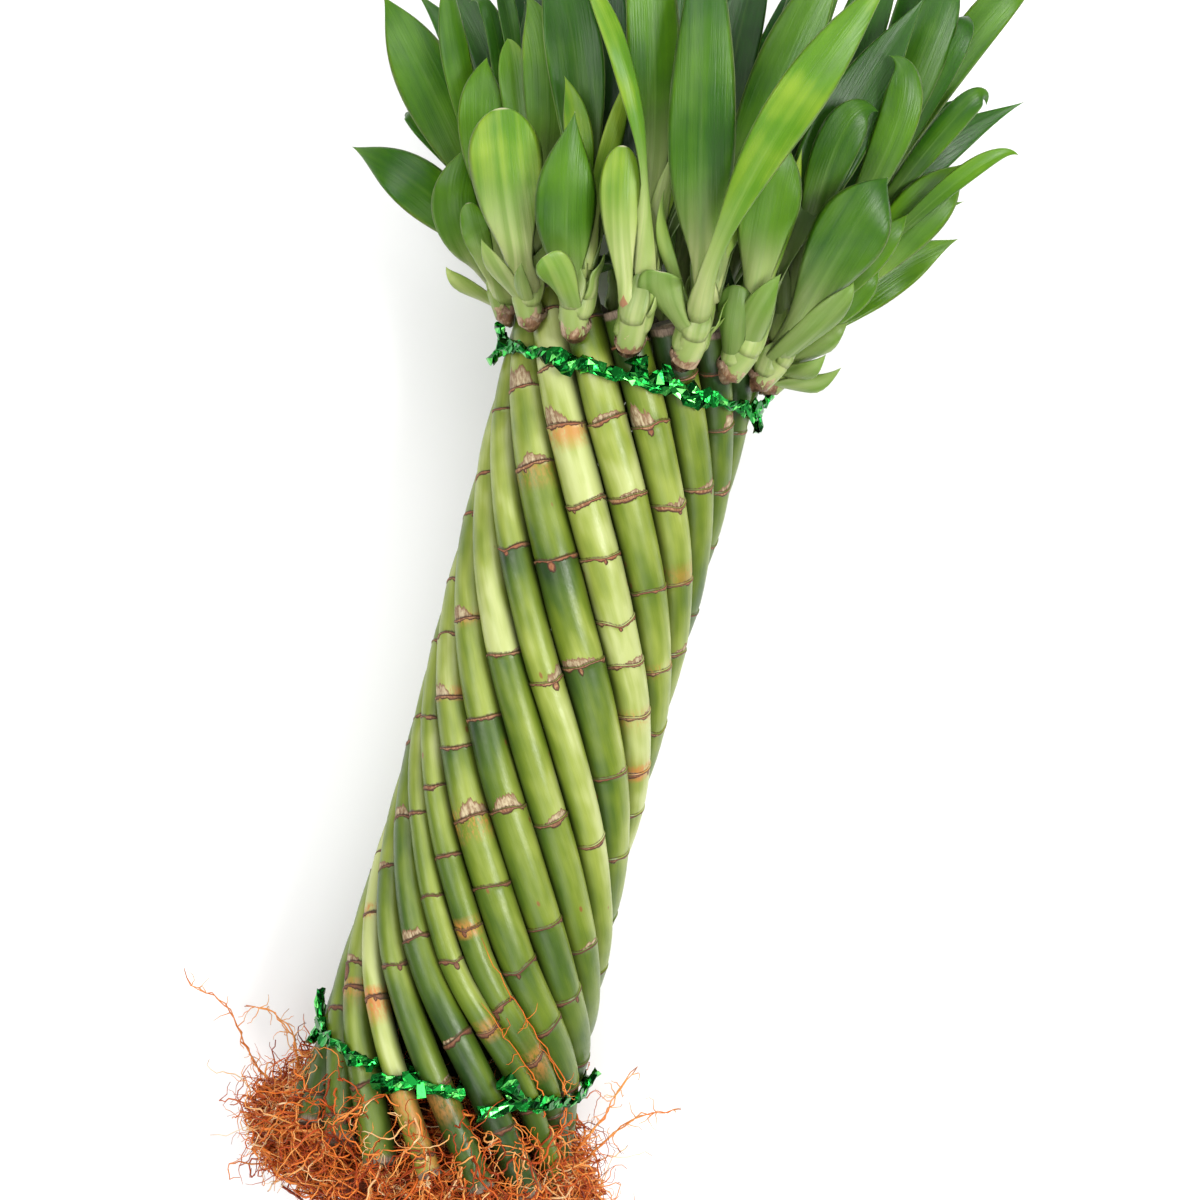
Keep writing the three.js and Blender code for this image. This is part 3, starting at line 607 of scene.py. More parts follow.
class Grower(NodeTree):
    """A geometry node tree with named inputs, and short ways to add its nodes."""

    def __init__(self, name, inputs):
        super().__init__(bpy.data.node_groups.new(name, "GeometryNodeTree"))
        face = self.tree.interface
        face.new_socket("Geometry", in_out="INPUT", socket_type="NodeSocketGeometry")
        self.keys = {}
        for label, kind in inputs.items():
            self.keys[label] = face.new_socket(label, in_out="INPUT", socket_type=kind).identifier
        face.new_socket("Geometry", in_out="OUTPUT", socket_type="NodeSocketGeometry")
        self.start = self.tree.nodes.new("NodeGroupInput").outputs
        self.end = self.tree.nodes.new("NodeGroupOutput").inputs

    def named(self, name, kind="FLOAT"):
        node = self.add("GeometryNodeInputNamedAttribute", {"Name": name}, data_type=kind)
        return node.outputs["Attribute"]

    def store(self, geometry, name, vector):
        inputs = {"Geometry": geometry, "Name": name, "Value": vector}
        options = {"data_type": "FLOAT_VECTOR", "domain": "POINT"}
        return self.add("GeometryNodeStoreNamedAttribute", inputs, **options).outputs[0]

    def scaled(self, vector, factor):
        return self.add("ShaderNodeVectorMath", {0: vector, "Scale": factor}, operation="SCALE").outputs[0]

    def dot(self, a, b):
        return self.vectors("DOT_PRODUCT", a, b)["Value"]

    def path(self):
        """The mesh of edges that the tree is given, as a curve."""
        return self.add("GeometryNodeMeshToCurve", {"Mesh": self.start["Geometry"]}).outputs[0]

    def swept(self, curve):
        """A closed round body along a curve, as thick as its points' girth says."""
        inputs = {"Resolution": self.start["Sides"], "Radius": 1.0}
        profile = self.add("GeometryNodeCurvePrimitiveCircle", inputs).outputs[0]
        radius = self.named("girth")
        curve = self.add("GeometryNodeSetCurveRadius", {"Curve": curve, "Radius": radius}).outputs[0]
        inputs = {"Curve": curve, "Profile Curve": profile, "Fill Caps": True}
        node = self.add("GeometryNodeCurveToMesh", inputs)
        if "Scale" in node.inputs:
            self.join(radius, node.inputs["Scale"])
        return node.outputs[0]

    def finish(self, geometry):
        """Ends the tree: smooth, real and in its finish."""
        body = self.add("GeometryNodeSetShadeSmooth", {"Geometry": geometry}).outputs[0]
        solid = self.add("GeometryNodeRealizeInstances", {"Geometry": body}).outputs[0]
        inputs = {"Geometry": solid, "Material": self.start["Finish"]}
        self.join(self.add("GeometryNodeSetMaterial", inputs).outputs[0], self.end[0])

    def grow(self, name, mesh, values):
        """The tree's result on that mesh, as a plain mesh object."""
        seedling = placed(name + "_path", mesh)
        modifier = seedling.modifiers.new("grow", "NODES")
        modifier.node_group = self.tree
        for label, value in values.items():
            modifier[self.keys[label]] = value
        ready = seedling.evaluated_get(bpy.context.evaluated_depsgraph_get())
        result = bpy.data.meshes.new_from_object(ready)
        result.name = name
        bpy.data.objects.remove(seedling)
        return placed(name, result)


def placed(name, data):
    """An object with that data, at the origin."""
    piece = bpy.data.objects.new(name, data)
    bpy.context.collection.objects.link(piece)
    return piece


def cane_grower():
    """Sweeps a round section along a cane's path, waves its rings and roughens its skin."""
    inputs = {"Sides": "NodeSocketInt", "Roughening": "NodeSocketFloat", "Dip": "NodeSocketFloat"}
    inputs["Finish"] = "NodeSocketMaterial"
    g = Grower("grow_cane", inputs)
    curve = g.store(g.path(), "lean", g.add("GeometryNodeInputTangent").outputs[0])
    body = g.swept(curve)

    place = g.add("GeometryNodeInputPosition").outputs[0]
    apart = g.vectors("SUBTRACT", place, g.named("centre", "FLOAT_VECTOR"))[0]
    outward = g.dot(apart, g.named("outward", "FLOAT_VECTOR"))
    sideways = g.dot(apart, g.named("sideways", "FLOAT_VECTOR"))
    turn = g.math("ARCTAN2", sideways, outward)
    girth = g.named("plain_girth")
    x, y = g.times(g.math("COSINE", turn), girth), g.times(g.math("SINE", turn), girth)
    skin = g.add("ShaderNodeCombineXYZ", {0: x, 1: y, 2: g.named("height")}).outputs[0]
    body = g.store(body, "skin", skin)

    # A ring rises and falls round its cane, and dips at its bud
    wave = g.math("SINE", g.plus(turn, g.named("phase")))
    finer = g.math("SINE", g.plus(g.times(turn, 3.0), g.named("phase")))
    wave = g.plus(wave, g.times(finer, 0.3))
    toward_bud = g.greater(g.math("COSINE", g.minus(turn, g.named("bud_turn"))), 0.0)
    wave = g.minus(wave, g.times(g.math("POWER", toward_bud, 12.0), g.start["Dip"]))
    shift = g.scaled(g.named("lean", "FLOAT_VECTOR"), g.times(wave, g.named("wave")))

    inputs = {"Vector": g.named("skin", "FLOAT_VECTOR"), "Scale": 0.5, "Detail": 3.0}
    bulge = g.minus(g.add("ShaderNodeTexNoise", inputs).outputs["Fac"], 0.5)
    amount = g.times(g.times(bulge, g.start["Roughening"]), g.named("rough"))
    out = g.scaled(g.add("GeometryNodeInputNormal").outputs[0], amount)
    offset = g.vectors("ADD", shift, out)[0]
    g.finish(g.add("GeometryNodeSetPosition", {"Geometry": body, "Offset": offset}).outputs[0])
    return g


def root_grower():
    """Sweeps a thin tapering section along each root's path."""
    g = Grower("grow_roots", {"Sides": "NodeSocketInt", "Finish": "NodeSocketMaterial"})
    g.finish(g.swept(g.path()))
    return g


def paint(mesh, name, values, domain="POINT"):
    """Stores one number, or one vector, for each point or face."""
    if isinstance(values[0], (int, float)):
        mesh.attributes.new(name, "FLOAT", domain).data.foreach_set("value", values)
    else:
        layer = mesh.attributes.new(name, "FLOAT_VECTOR", domain)
        layer.data.foreach_set("vector", [c for value in values for c in value])


def path_mesh(name, paths, attributes):
    """Paths as a mesh of edges. attributes maps a name to one value for each point of all the paths."""
    points = [tuple(p) for path in paths for p in path]
    edges, start = [], 0
    for path in paths:
        edges += [(start + k, start + k + 1) for k in range(len(path) - 1)]
        start += len(path)
    mesh = bpy.data.meshes.new(name)
    mesh.from_pydata(points, edges, [])
    for key, values in attributes.items():
        paint(mesh, key, values)
    return mesh


def plain_mesh(name, points, faces, finishes, face_finish=None, smooth_faces=True):
    mesh = bpy.data.meshes.new(name)
    mesh.from_pydata([tuple(p) for p in points], [], faces)
    for material in finishes:
        mesh.materials.append(material)
    if face_finish is not None:
        mesh.polygons.foreach_set("material_index", face_finish)
    mesh.polygons.foreach_set("use_smooth", [smooth_faces] * len(faces))
    mesh.update()
    return placed(name, mesh)


def tube_faces(start, rings, count, closed=False):
    """Quads between rings of count points, the first of which is number start. A closed tube is a hoop."""
    faces = []
    for i in range(rings if closed else rings - 1):
        for k in range(count):
            following = (k + 1) % count
            ring, after = start + i * count, start + (i + 1) % rings * count
            faces.append((ring + k, ring + following, after + following, after + k))
    return faces


def settle(piece, slot, *nodes):
    """Has a piece ride on the part and hides the solids that it stands for. Its slot, what it is made of, is
    not used.
    """
    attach(piece, "root")
    if nodes:
        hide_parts(*nodes)


# Canes

CANE_SIDES = 44
CANE_SWELL = 0.29  # closes the gap between neighbours
CANE_WANDER = 0.12  # how far a cane strays from its true helix
WANDER_LENGTHS = (46, 27)  # of the waves in which it strays
SKIN_ROUGHENING = 0.55
RING_WAVE = 0.5
RING_DIP = 1.0  # at a bud, as a share of the ring's wave
DRY_TOP = 3.2  # the cut end's brown part
DRY_FOOT = 2
PAINTED_SHADE_SIDE = -1.5  # the direction, from the tube's outside, of the side that painted shade darkens most
# how much painted shade darkens that side
PAINTED_SHADE_AMOUNT = 0.2
OUT_OF_REACH = 20  # stands for the distance to a ring where there is none
RUST_FEATHER = 1.2
ROW_STEP = 3.5  # between rows of points, away from the rings

# A cane's form, as shares of its radius: it widens to a ring, has a lip there and is pinched just over it
FLARE, FLARE_LENGTH = 0.015, 2.4
LIP, LIP_HEIGHT, LIP_EDGE = 0.03, 0.8, 0.4
PINCH, PINCH_LENGTH = 0.03, 0.9

# Rows across the cut face at the top: depth under the end, and distance from the middle, 1 being the rim
CUT_ROWS = {0.15: 0.98, 0.12: 0.94, 0.09: 0.8, 0.06: 0.55, 0.03: 0.3, 0.0: 0.06}

# How dark each cane is, from 0, pale yellow-green, to 1, deep green
CANE_TONES = [0.55, 0.5, 0.5, 0.27, 0.36, 0.06, 0.42, 0.36, 0.42, 0.36, 0.4, 0.42, 0.42, 0.62, 0.6, 0.15, 0.4]

# Lengths that are darker or paler than their cane: cane, from, to, tone at the lower and at the upper end.
# Here and in the next three tables, canes are counted from 0.
SPANS = [
    (3, 155.7, 173.4, 0.2, 0.35), (4, 99.2, 114.4, 0.4, 0.55), (4, 133.9, 154.9, 0.4, 0.5),
    (4, 154.9, 171.7, 0.2, 0.3), (5, 114.7, 138.7, 0.0, 0.05), (6, 64.7, 85.9, 0.45, 0.55),
    (6, 85.9, 111.9, 0.4, 0.95), (6, 111.9, 135.4, 0.4, 0.95), (6, 155.7, 173.4, 0.42, 0.3),
    (7, 32.7, 68.4, 0.25, 0.3), (7, 68.4, 105.7, 0.25, 0.35), (7, 105.7, 135.2, 0.42, 0.8),
    (7, 135.2, 166.2, 0.25, 0.35), (8, 40.7, 71.7, 0.45, 0.75), (8, 71.7, 108.7, 0.45, 0.85),
    (8, 108.7, 148.7, 0.2, 0.35), (9, 27.9, 45.4, 0.5, 0.6), (9, 45.4, 71.7, 0.4, 0.55),
    (9, 71.7, 91.9, 0.55, 0.95), (9, 91.9, 113.4, 0.4, 0.5), (10, 19.9, 34.2, 0.55, 0.7),
    (10, 34.2, 51.9, 0.5, 0.65), (10, 51.9, 66.9, 0.45, 0.75), (10, 66.9, 82.4, 0.5, 0.95),
    (13, 33.4, 58.7, 0.6, 0.7), (13, 58.7, 77.4, 0.65, 0.95), (14, 25.2, 45.4, 0.55, 0.75),
    (14, 45.4, 70.2, 0.45, 0.65),
]

# Orange patches: cane, from, to, amount
RUST_PATCHES = [
    (3, 98, 101, 0.5), (3, 137, 141, 0.4), (4, 113, 116, 0.5), (5, 85.9, 90, 0.9), (5, 100, 104, 0.5),
    (5, 163, 167.7, 0.8), (6, 152, 155.7, 0.5), (9, 112, 114.5, 0.6), (10, 62, 69, 1.0), (10, 92, 95, 0.8),
    (11, 9, 14, 0.6), (11, 39, 42, 0.8), (12, 16, 19, 0.6), (14, -6, 1, 0.5), (15, -24, -2, 0.8),
    (15, 12, 17, 1.0), (15, 32, 35, 0.9), (16, 11, 15, 0.6),
]

# Papery remnants of leaf sheaths over a ring: cane, ring, degrees from the tube's outside, height
SCARS = [
    (1, 162.7, 0, 1.6), (1, 177.4, 10, 3.0), (2, 161.7, 20, 1.8), (3, 99.9, 20, 2.0), (3, 119.2, 0, 2.2),
    (3, 155.7, 20, 1.6), (3, 173.4, -50, 5.0), (4, 154.9, 10, 1.0), (4, 171.7, 0, 1.3), (5, 114.7, 20, 1.4),
    (5, 167.7, -20, 4.0), (6, 111.9, -30, 2.2), (6, 155.7, 20, 2.0), (6, 173.4, 10, 4.5), (7, 105.7, 60, 2.6),
    (8, 40.7, 0, 1.4), (8, 71.7, 20, 1.8), (9, 71.7, 10, 3.2), (9, 113.4, 0, 3.0), (10, 66.9, 30, 3.0),
    (10, 92.9, 0, 3.2), (13, 33.4, 0, 2.2), (13, 58.7, 20, 2.6), (14, 45.4, -10, 1.5), (16, 19.2, 0, 1.8),
]
CHANCE_SCAR = 0.3  # that another ring has one

# Bud scars under a ring: cane, ring, degrees, size
BUDS = [
    (2, 161.7, 10, 0.9), (3, 155.7, 5, 1.0), (5, 87.9, 0, 0.9), (5, 138.7, 5, 0.8), (5, 150.9, -35, 0.9),
    (6, 111.9, -20, 1.0), (6, 135.4, -5, 1.5), (6, 155.7, 0, 0.9), (7, 105.7, 30, 1.3), (7, 135.2, 0, 1.0),
    (9, 27.9, 0, 0.9), (14, 0.7, 10, 1.2), (16, 19.2, 0, 2.2),
]
CHANCE_BUD = 0.6  # that another ring has one
UNSEEN_MARK = 0.001


def rust_at(index, y):
    """How orange a cane is at that height."""
    amount = 0.0
    for cane, low, high, strength in RUST_PATCHES:
        if cane == index:
            inside = smooth((y - low) / RUST_FEATHER + 0.5), smooth((high - y) / RUST_FEATHER + 0.5)
            amount = max(amount, strength * inside[0] * inside[1])
    return amount


def tone_at(index, y, low, high):
    """The part below a ring is usually the darker one, and the canes darken towards their feet. Above the
    upper tie they are darkened with painted shade of the leaves over them.
    """
    share = min(1, max(0, (y - low) / (high - low)))
    for cane, start, end, lower, upper in SPANS:
        if cane == index and start - 0.1 <= low and high <= end + 0.1:
            return mix(lower, upper, share**2)
    draw = seeded(900 + index * 40 + int(abs(low)))
    tone = CANE_TONES[index] + either_way(draw, 0.2) + 0.22 * (draw() - 0.2) * share**2
    # Darker towards the feet; above the upper tie, painted shade of the leaves over it
    return tone + 0.22 * smooth((36 - y) / 40) + 0.3 * smooth((y - TIE_SPAN) / 6)


def mark_at(table, index, ring, chance, seed):
    """Direction, as an angle, and size of a ring's mark."""
    for cane, height, degrees, size in table:
        if cane == index and height == ring:
            return math.radians(degrees), size
    draw = seeded(seed + index * 50 + int(abs(ring) * 3))
    turn = math.tau * draw()
    return turn, (0.5 + 0.6 * draw() if draw() < chance else UNSEEN_MARK)


def bud_at(index, ring):
    return mark_at(BUDS, index, ring, CHANCE_BUD, 4000)


def scar_at(index, ring):
    return mark_at(SCARS, index, ring, CHANCE_SCAR, 5000)


def pointing(turn, amount):
    """What is painted for a direction round a cane and an amount that goes with it."""
    return math.cos(turn), math.sin(turn), amount


def cane_rows(index):
    """Heights at which a cane has a row of points, as (height, ring below, ring above)."""
    foot, top = cane_ends(index)
    marks = [foot, *ring_heights(index), top]
    rows = []
    for low, high in zip(marks, marks[1:]):
        squeeze = min(1, (high - low) / 6)
        near_low = [0.06, 0.3, 0.7, 1.3, 2.4 * squeeze] if low > foot else [0.0, squeeze]
        near_high = [2.6 * squeeze, 1.4 * squeeze, 0.75, 0.5, 0.25, 0.0]
        if high == top:
            near_high = [2.5, 1.0, 0.25, *CUT_ROWS]
        inner_low, inner_high = low + near_low[-1], high - near_high[0]
        pieces = max(1, round((inner_high - inner_low) / ROW_STEP))
        heights = [low + d for d in near_low]
        heights += [inner_low + (inner_high - inner_low) * k / pieces for k in range(1, pieces)]
        heights += [high - d for d in near_high]
        rows += [(y, low, high) for y in heights]
    return rows


def cut_share(y, top):
    """How far from its middle to its rim a row of the cut face is. Rows below that face are at the rim."""
    return next(share for depth, share in CUT_ROWS.items() if top - y > depth - 0.01)


def cane_share(y, low, high, foot, top):
    """Radius at that height, as a share of the greatest."""
    if y > top - 0.2:
        return CANE_WAIST * cut_share(y, top)
    share = CANE_WAIST
    if high < top:
        down = high - y
        flare = FLARE * math.exp(-((down / FLARE_LENGTH) ** 1.5))
        share += flare + LIP * smooth((LIP_HEIGHT - down) / LIP_EDGE)
    if low > foot:
        share -= PINCH * math.exp(-(y - low) / PINCH_LENGTH)
    return share


def cane_frame(index, y):
    """The middle of a cane, which strays a little from its helix, and the ways out of the tube and aside."""
    draw = seeded(620 + index)
    centre = cane_point(index, y)
    for length in WANDER_LENGTHS:
        phases = (PHASES * draw(), PHASES * draw())
        x, z = (math.sin(y / length * PHASES + phase) for phase in phases)
        centre += Vector((x, 0, z)) * (CANE_WANDER / 2)
    along = (cane_point(index, y + 0.5) - cane_point(index, y - 0.5)).normalized()
    outward = square_to(along, Vector((centre.x, 0, centre.z)))
    return centre, outward, along.cross(outward)


def make_canes(grower):
    for index, (diameter, _, _) in enumerate(CANES):
        foot, top = cane_ends(index)
        draw = seeded(700 + index)
        # The side of this cane that painted shade darkens
        shaded_turn = PAINTED_SHADE_SIDE + either_way(draw, 1.4)
        path, layers, waves = [], {}, {}
        for y, low, high in cane_rows(index):
            centre, outward, sideways = cane_frame(index, y)
            path.append(to_world(centre))
            share = cane_share(y, low, high, foot, top)
            up = y - low if low > foot else OUT_OF_REACH
            down = high - y if high < top else OUT_OF_REACH
            ring = low if up < down else high
            phase, size = waves.setdefault(ring, (PHASES * draw(), 0.5 + draw()))
            row = {
                "girth": (diameter / 2 * share + CANE_SWELL) * MM,
                "plain_girth": diameter / 2,
                "height": y,
                "tone": tone_at(index, y, low, high),
                "up": up,
                "down": down,
                "rust": rust_at(index, y),
                "dry": max(smooth((y - top + DRY_TOP) / DRY_TOP), smooth((foot + DRY_FOOT - y) / DRY_FOOT)),
                "core": cut_share(y, top),
                "rough": 0.3 + 0.9 * math.exp(-((down / 0.7) ** 2)),
                "wave": RING_WAVE * size * math.exp(-((min(up, down) / 2.5) ** 2)) * MM,
                "phase": phase,
                "bud_turn": bud_at(index, ring)[0],
                "centre": to_world(centre),
                "outward": turned(outward),
                "sideways": turned(sideways),
                "bud": pointing(*bud_at(index, high)),
                "scar": pointing(*scar_at(index, low)),
                # painted shade on one side of the cane
                "painted_shade_side": pointing(shaded_turn, PAINTED_SHADE_AMOUNT),
            }
            for key, value in row.items():
                layers.setdefault(key, []).append(value)
        name = f"cane_look_{index + 1:02d}"
        values = {"Sides": CANE_SIDES, "Roughening": SKIN_ROUGHENING * MM, "Dip": RING_DIP}
        values["Finish"] = CANE_SKIN
        piece = grower.grow(name, path_mesh(name, [path], layers), values)
        settle(piece, "cane", f"cane_{index + 1:02d}")


# Shoots

SHOOT_HEIGHT = 190.5
STEM_REACH = 4.5
STEM_LENGTH = 17
STEM_SIDES = 20
STEM_BEND = 0.4  # the share of a stem at which it has turned up along the bunch
STEM_ABOVE = 0.66  # the share from there to its end
SEAT_GAP = 0.75

# A stem's radii from its foot to its top, and how torn and brown its skin is there
STEM_RADII = [2.7, 3.3, 3.5, 3.5, 3.45, 3.4, 3.3, 3.2, 3.0, 2.8, 2.4, 1.6]
STEM_TORN = [1.0, 1.0, 0.8, 0.4, 0.1, 0.0, 0.0, 0.0, 0.0, 0.0, 0.0, 0.0]

# The section of the frill round a stem's foot: height and radius, up its outside and down its inside
COLLAR = [(0.2, 3.3), (1.2, 3.75), (2.1, 3.85), (2.1, 3.65), (1.2, 3.5), (0.4, 3.0)]
COLLAR_SIDES = 40

# Outlines: where a leaf is widest, how sharply it narrows from there, and how wide its neck is
OUTLINES = {
    "lance": (0.55, 3.2, 0.32),
    "spoon": (0.76, 2.2, 0.40),
    "ribbon": (0.68, 4.6, 0.40),
    "scale": (0.40, 2.0, 0.80),
    "cup": (0.72, 1.5, 0.60),
    "husk": (0.42, 1.6, 0.85),
}
UNSHEATHED = ("scale", "cup", "husk")

# Leaves that show from above. Each row: number of the cane, outline, width, where it leaves the stem (from 0
# to 1), its middle, its tip, how far its face rolls about its length, how dark it is and how pale its base.
FRONT_LEAVES = [
    (3, "cup", 11, 0.3, (4, 202, 41), (1, 209, 46), 0, 0.35, 0.6),
    (3, "lance", 16, 0.9, (3, 238, 58), (-11, 299, 62), -8, 0.5, 1.0),
    (3, "ribbon", 12, 0.6, (16, 235, 66), (36, 289, 72), 12, 0.3, 1.0),
    (3, "lance", 14, 0.95, (16, 255, 42), (24, 297, 47), 5, 0.6, 0.5),
    (3, "scale", 4, 0.35, (9, 207, 35), (11, 212, 36), 0, 0.3, 0.8),
    (3, "scale", 4, 0.5, (1, 214, 43), (-3, 228, 49), 40, 0.4, 0.6),
    (3, "lance", 11, 1, (5, 263, 30), (7, 294, 28), 0, 0.9, 0.2),
    (4, "spoon", 10, 0.35, (-10, 214, 46), (-15, 235, 52), 0, 0.12, 1.6),
    (4, "ribbon", 6, 0.9, (-14, 243, 55), (-37, 274, 59), 30, 0.25, 1.0),
    (4, "lance", 13, 1, (-13, 256, 50), (-28, 295, 56), 10, 0.5, 0.8),
    (4, "scale", 5, 0.8, (-3, 223, 44), (-3, 238, 50), 40, 0.3, 1.0),
    (4, "lance", 9, 0.9, (-16, 237, 33), (-15, 263, 28), 0, 0.9, 0.2),
    (4, "lance", 12, 1, (-7, 259, 34), (-14, 294, 36), 0, 0.85, 0.2),
    (5, "cup", 9, 0.1, (-21, 200, 43), (-26, 206, 48), 0, 0.35, 0.5),
    (5, "lance", 15, 0.4, (-24, 216, 44), (-28, 240, 50), 8, 0.55, 0.6),
    (5, "lance", 7, 0.8, (-25, 232, 38), (-33, 248, 42), 0, 0.3, 0.9),
    (5, "lance", 14, 0.9, (-31, 251, 36), (-47, 280, 38), 0, 0.6, 0.4),
    (5, "lance", 13, 1, (-23, 247, 24), (-35, 278, 24), 0, 0.85, 0.2),
    (5, "lance", 10, 0.9, (-7, 219, 18), (-10, 246, 16), 0, 0.95, 0.1),
    (6, "spoon", 18, 0.4, (-37, 213, 38), (-46, 237, 42), 0, 0.25, 1.0),
    (6, "scale", 6, 0.1, (-37, 199, 30), (-43, 206, 36), 0, 0.2, 1.0),
    (6, "scale", 4, 0.2, (-31, 198, 34), (-32, 203, 38), 0, 0.3, 0.8),
    (6, "lance", 12, 0.9, (-37, 245, 30), (-48, 266, 32), 0, 0.35, 0.6),
    (6, "lance", 8, 0.9, (-44, 242, 24), (-50, 255, 24), 0, 0.35, 0.6),
    (6, "lance", 5, 1, (-50, 257, 16), (-59, 270, 14), 30, 0.6, 0.3),
    (6, "lance", 12, 0.95, (-18, 224, 14), (-25, 258, 12), 0, 0.95, 0.1),
    (7, "spoon", 7, 0.15, (-42, 202, 24), (-49, 214, 28), 0, 0.3, 1.0),
    (7, "lance", 12, 0.6, (-50, 231, 22), (-54, 250, 22), 0, 0.4, 0.8),
    (7, "lance", 5, 1, (-53, 254, 12), (-63, 263, 10), 30, 0.6, 0.3),
    (7, "lance", 8, 0.9, (-59, 243, 14), (-71, 272, 12), 30, 0.55, 0.3),
    (8, "scale", 5, 0, (-46, 194, 8), (-52, 198, 10), 0, 0.1, 1.0),
    (8, "lance", 12, 0.4, (-52, 210, 14), (-53, 229, 17), 0, 0.4, 1.0),
    (8, "lance", 16, 0.9, (-65, 238, 6), (-85, 260, 4), 0, 0.6, 0.3),
    (9, "lance", 14, 0.5, (-60, 214, 2), (-85, 222, -5), 0, 0.6, 0.4),
    (9, "lance", 5, 0.9, (-65, 229, -6), (-73, 232, -8), 30, 0.7, 0.2),
    (2, "cup", 9, 0, (21, 201, 35), (20, 211, 37), 0, 0.45, 0.4),
    (2, "scale", 8, 0.3, (26, 206, 38), (29, 216, 42), 0, 0.4, 0.5),
    (2, "lance", 15, 0.6, (22, 229, 46), (22, 246, 50), 5, 0.45, 1.0),
    (2, "lance", 7, 0.9, (13, 216, 22), (11, 231, 22), 0, 0.9, 0.1),
    (2, "lance", 9, 0.9, (26, 245, 25), (24, 261, 23), 0, 0.75, 0.2),
    (2, "lance", 12, 1, (19, 272, 32), (28, 303, 32), 0, 0.6, 0.3),
    (1, "lance", 18, 0.4, (42, 227, 36), (48, 245, 36), 10, 0.55, 0.5),
    (1, "lance", 11, 0.9, (34, 248, 32), (42, 260, 32), 0, 0.5, 0.4),
    (1, "scale", 8, 0.1, (43, 209, 28), (47, 219, 30), 0, 0.45, 0.5),
    (1, "scale", 5, 0.5, (32, 211, 22), (28, 223, 24), 0, 0.6, 0.4),
    (1, "lance", 10, 1, (47, 257, 28), (41, 274, 28), 0, 0.55, 0.3),
    (1, "lance", 12, 1, (33, 272, 17), (38, 304, 16), 0, 0.7, 0.2),
    (17, "lance", 8, 0.8, (49, 225, 22), (56, 239, 22), 0, 0.5, 0.4),
    (17, "lance", 9, 0.5, (48, 216, 14), (53, 226, 14), 0, 0.45, 0.5),
    (17, "scale", 7, 0.3, (44, 203, 18), (49, 210, 18), 0, 0.4, 0.6),
    (17, "scale", 6, 0.2, (42, 195, 13), (46, 201, 16), 0, 0.4, 0.6),
    (17, "scale", 6, 0, (44, 192, 8), (51, 199, 10), 0, 0.35, 0.7),
    (17, "lance", 12, 1, (49, 273, 16), (51, 301, 16), 0, 0.6, 0.3),
    (17, "lance", 14, 0.8, (58, 238, 8), (67, 256, 6), 0, 0.25, 0.5),
    (17, "lance", 5, 0.9, (65, 249, 12), (80, 261, 10), 20, 0.5, 0.3),
    (16, "lance", 7, 1, (60, 262, 10), (69, 271, 8), 0, 0.55, 0.3),
    (16, "lance", 14, 0.7, (53, 233, -6), (72, 258, -7), 0, 0.45, 0.4),
    (16, "lance", 12, 0.4, (55, 222, -17), (74, 240, -20), 0, 0.5, 0.4),
    (16, "lance", 8, 1, (54, 272, 14), (58, 290, 14), 0, 0.6, 0.3),
    (16, "lance", 10, 1, (60, 284, 4), (76, 305, 2), 0, 0.55, 0.3),
    (17, "lance", 10, 1, (45, 282, 8), (45, 310, 6), 0, 0.7, 0.2),
]
SCARRED_LEAF = (4, "spoon")

# The shoots underneath fan their leaves out in columns, down to the surface
LOW_SHOOTS = (9, 10, 11, 12, 13, 14, 15)
LOW_LEAVES = 5
LOW_START = -8
LOW_REACH = 16
LOW_FLOOR = -46
LOW_STAGGER = 5
LOW_FAN = 0.017
RESTING_SHOOTS = (10, 14)
REST_DEPTH = 1.5
REST_CURL = 6

# Leaves behind those that show, dark with painted shade
BACK_LEAVES = 5
BACK_WIDTH = 11
BACK_REACH = 60

# Short scale leaves round the foot of a shoot: the direction in which each one stands
HUSK_TURNS = (-70, 55, -15, 100, -110)

LEAF_ACROSS = 9
LEAF_ALONG = 26
LONG_LEAF = 30  # a shorter one has half as many rings
LEAF_THICKNESS = 0.5
EDGE_WAVE = 0.1  # as a share of half the width
SHEATH_ANGLE = 1.9  # half the angle that a leaf's base wraps round its stem
SCALE_ANGLE = 1.0  # the same for a leaf without a sheath
BLADE_ANGLE = 0.36
SHEATH_END = 0.34  # where along the leaf it has opened flat
SHEATH_RADIUS = 3.3
PALE_REACH = 0.42  # how far up a leaf its pale base fades
PALE_REACH_SPOON = 0.85
LEAF_SAG = 0.05  # the most that a tip hangs down, as a share of the length
LEAF_TURNING = 26  # degrees that a leaf's face turns along it
VEIN_DRIFT = 40  # so that no two leaves have the same veins
TROUGH_DEPTH = 0.05  # of the fold over the midrib
TROUGH_WIDTH = 0.12
COLLAR_TEAR = 2.2


def stem_points(index):
    cane = cane_point(index, SHOOT_HEIGHT)
    out = outward_at(cane)
    surface = CANES[index][0] / 2 + SEAT_GAP

    def at(reach, rise):
        return cane + out * (surface + reach) + up_by(rise)

    return [at(0, 0), at(1.2, 0), at(STEM_REACH, 5), at(STEM_REACH + 1, STEM_LENGTH)]


def stem_at(index, share):
    _, low, middle, high = stem_points(index)
    if share < STEM_BEND:
        return low.lerp(middle, share / STEM_BEND)
    return middle.lerp(high, (share - STEM_BEND) / STEM_ABOVE)


def surface_level(y):
    """The height of the surface that the bunch lies on, in the bunch's frame."""
    return -(AXIS_HEIGHT + y * math.sin(TILT)) / math.cos(TILT)


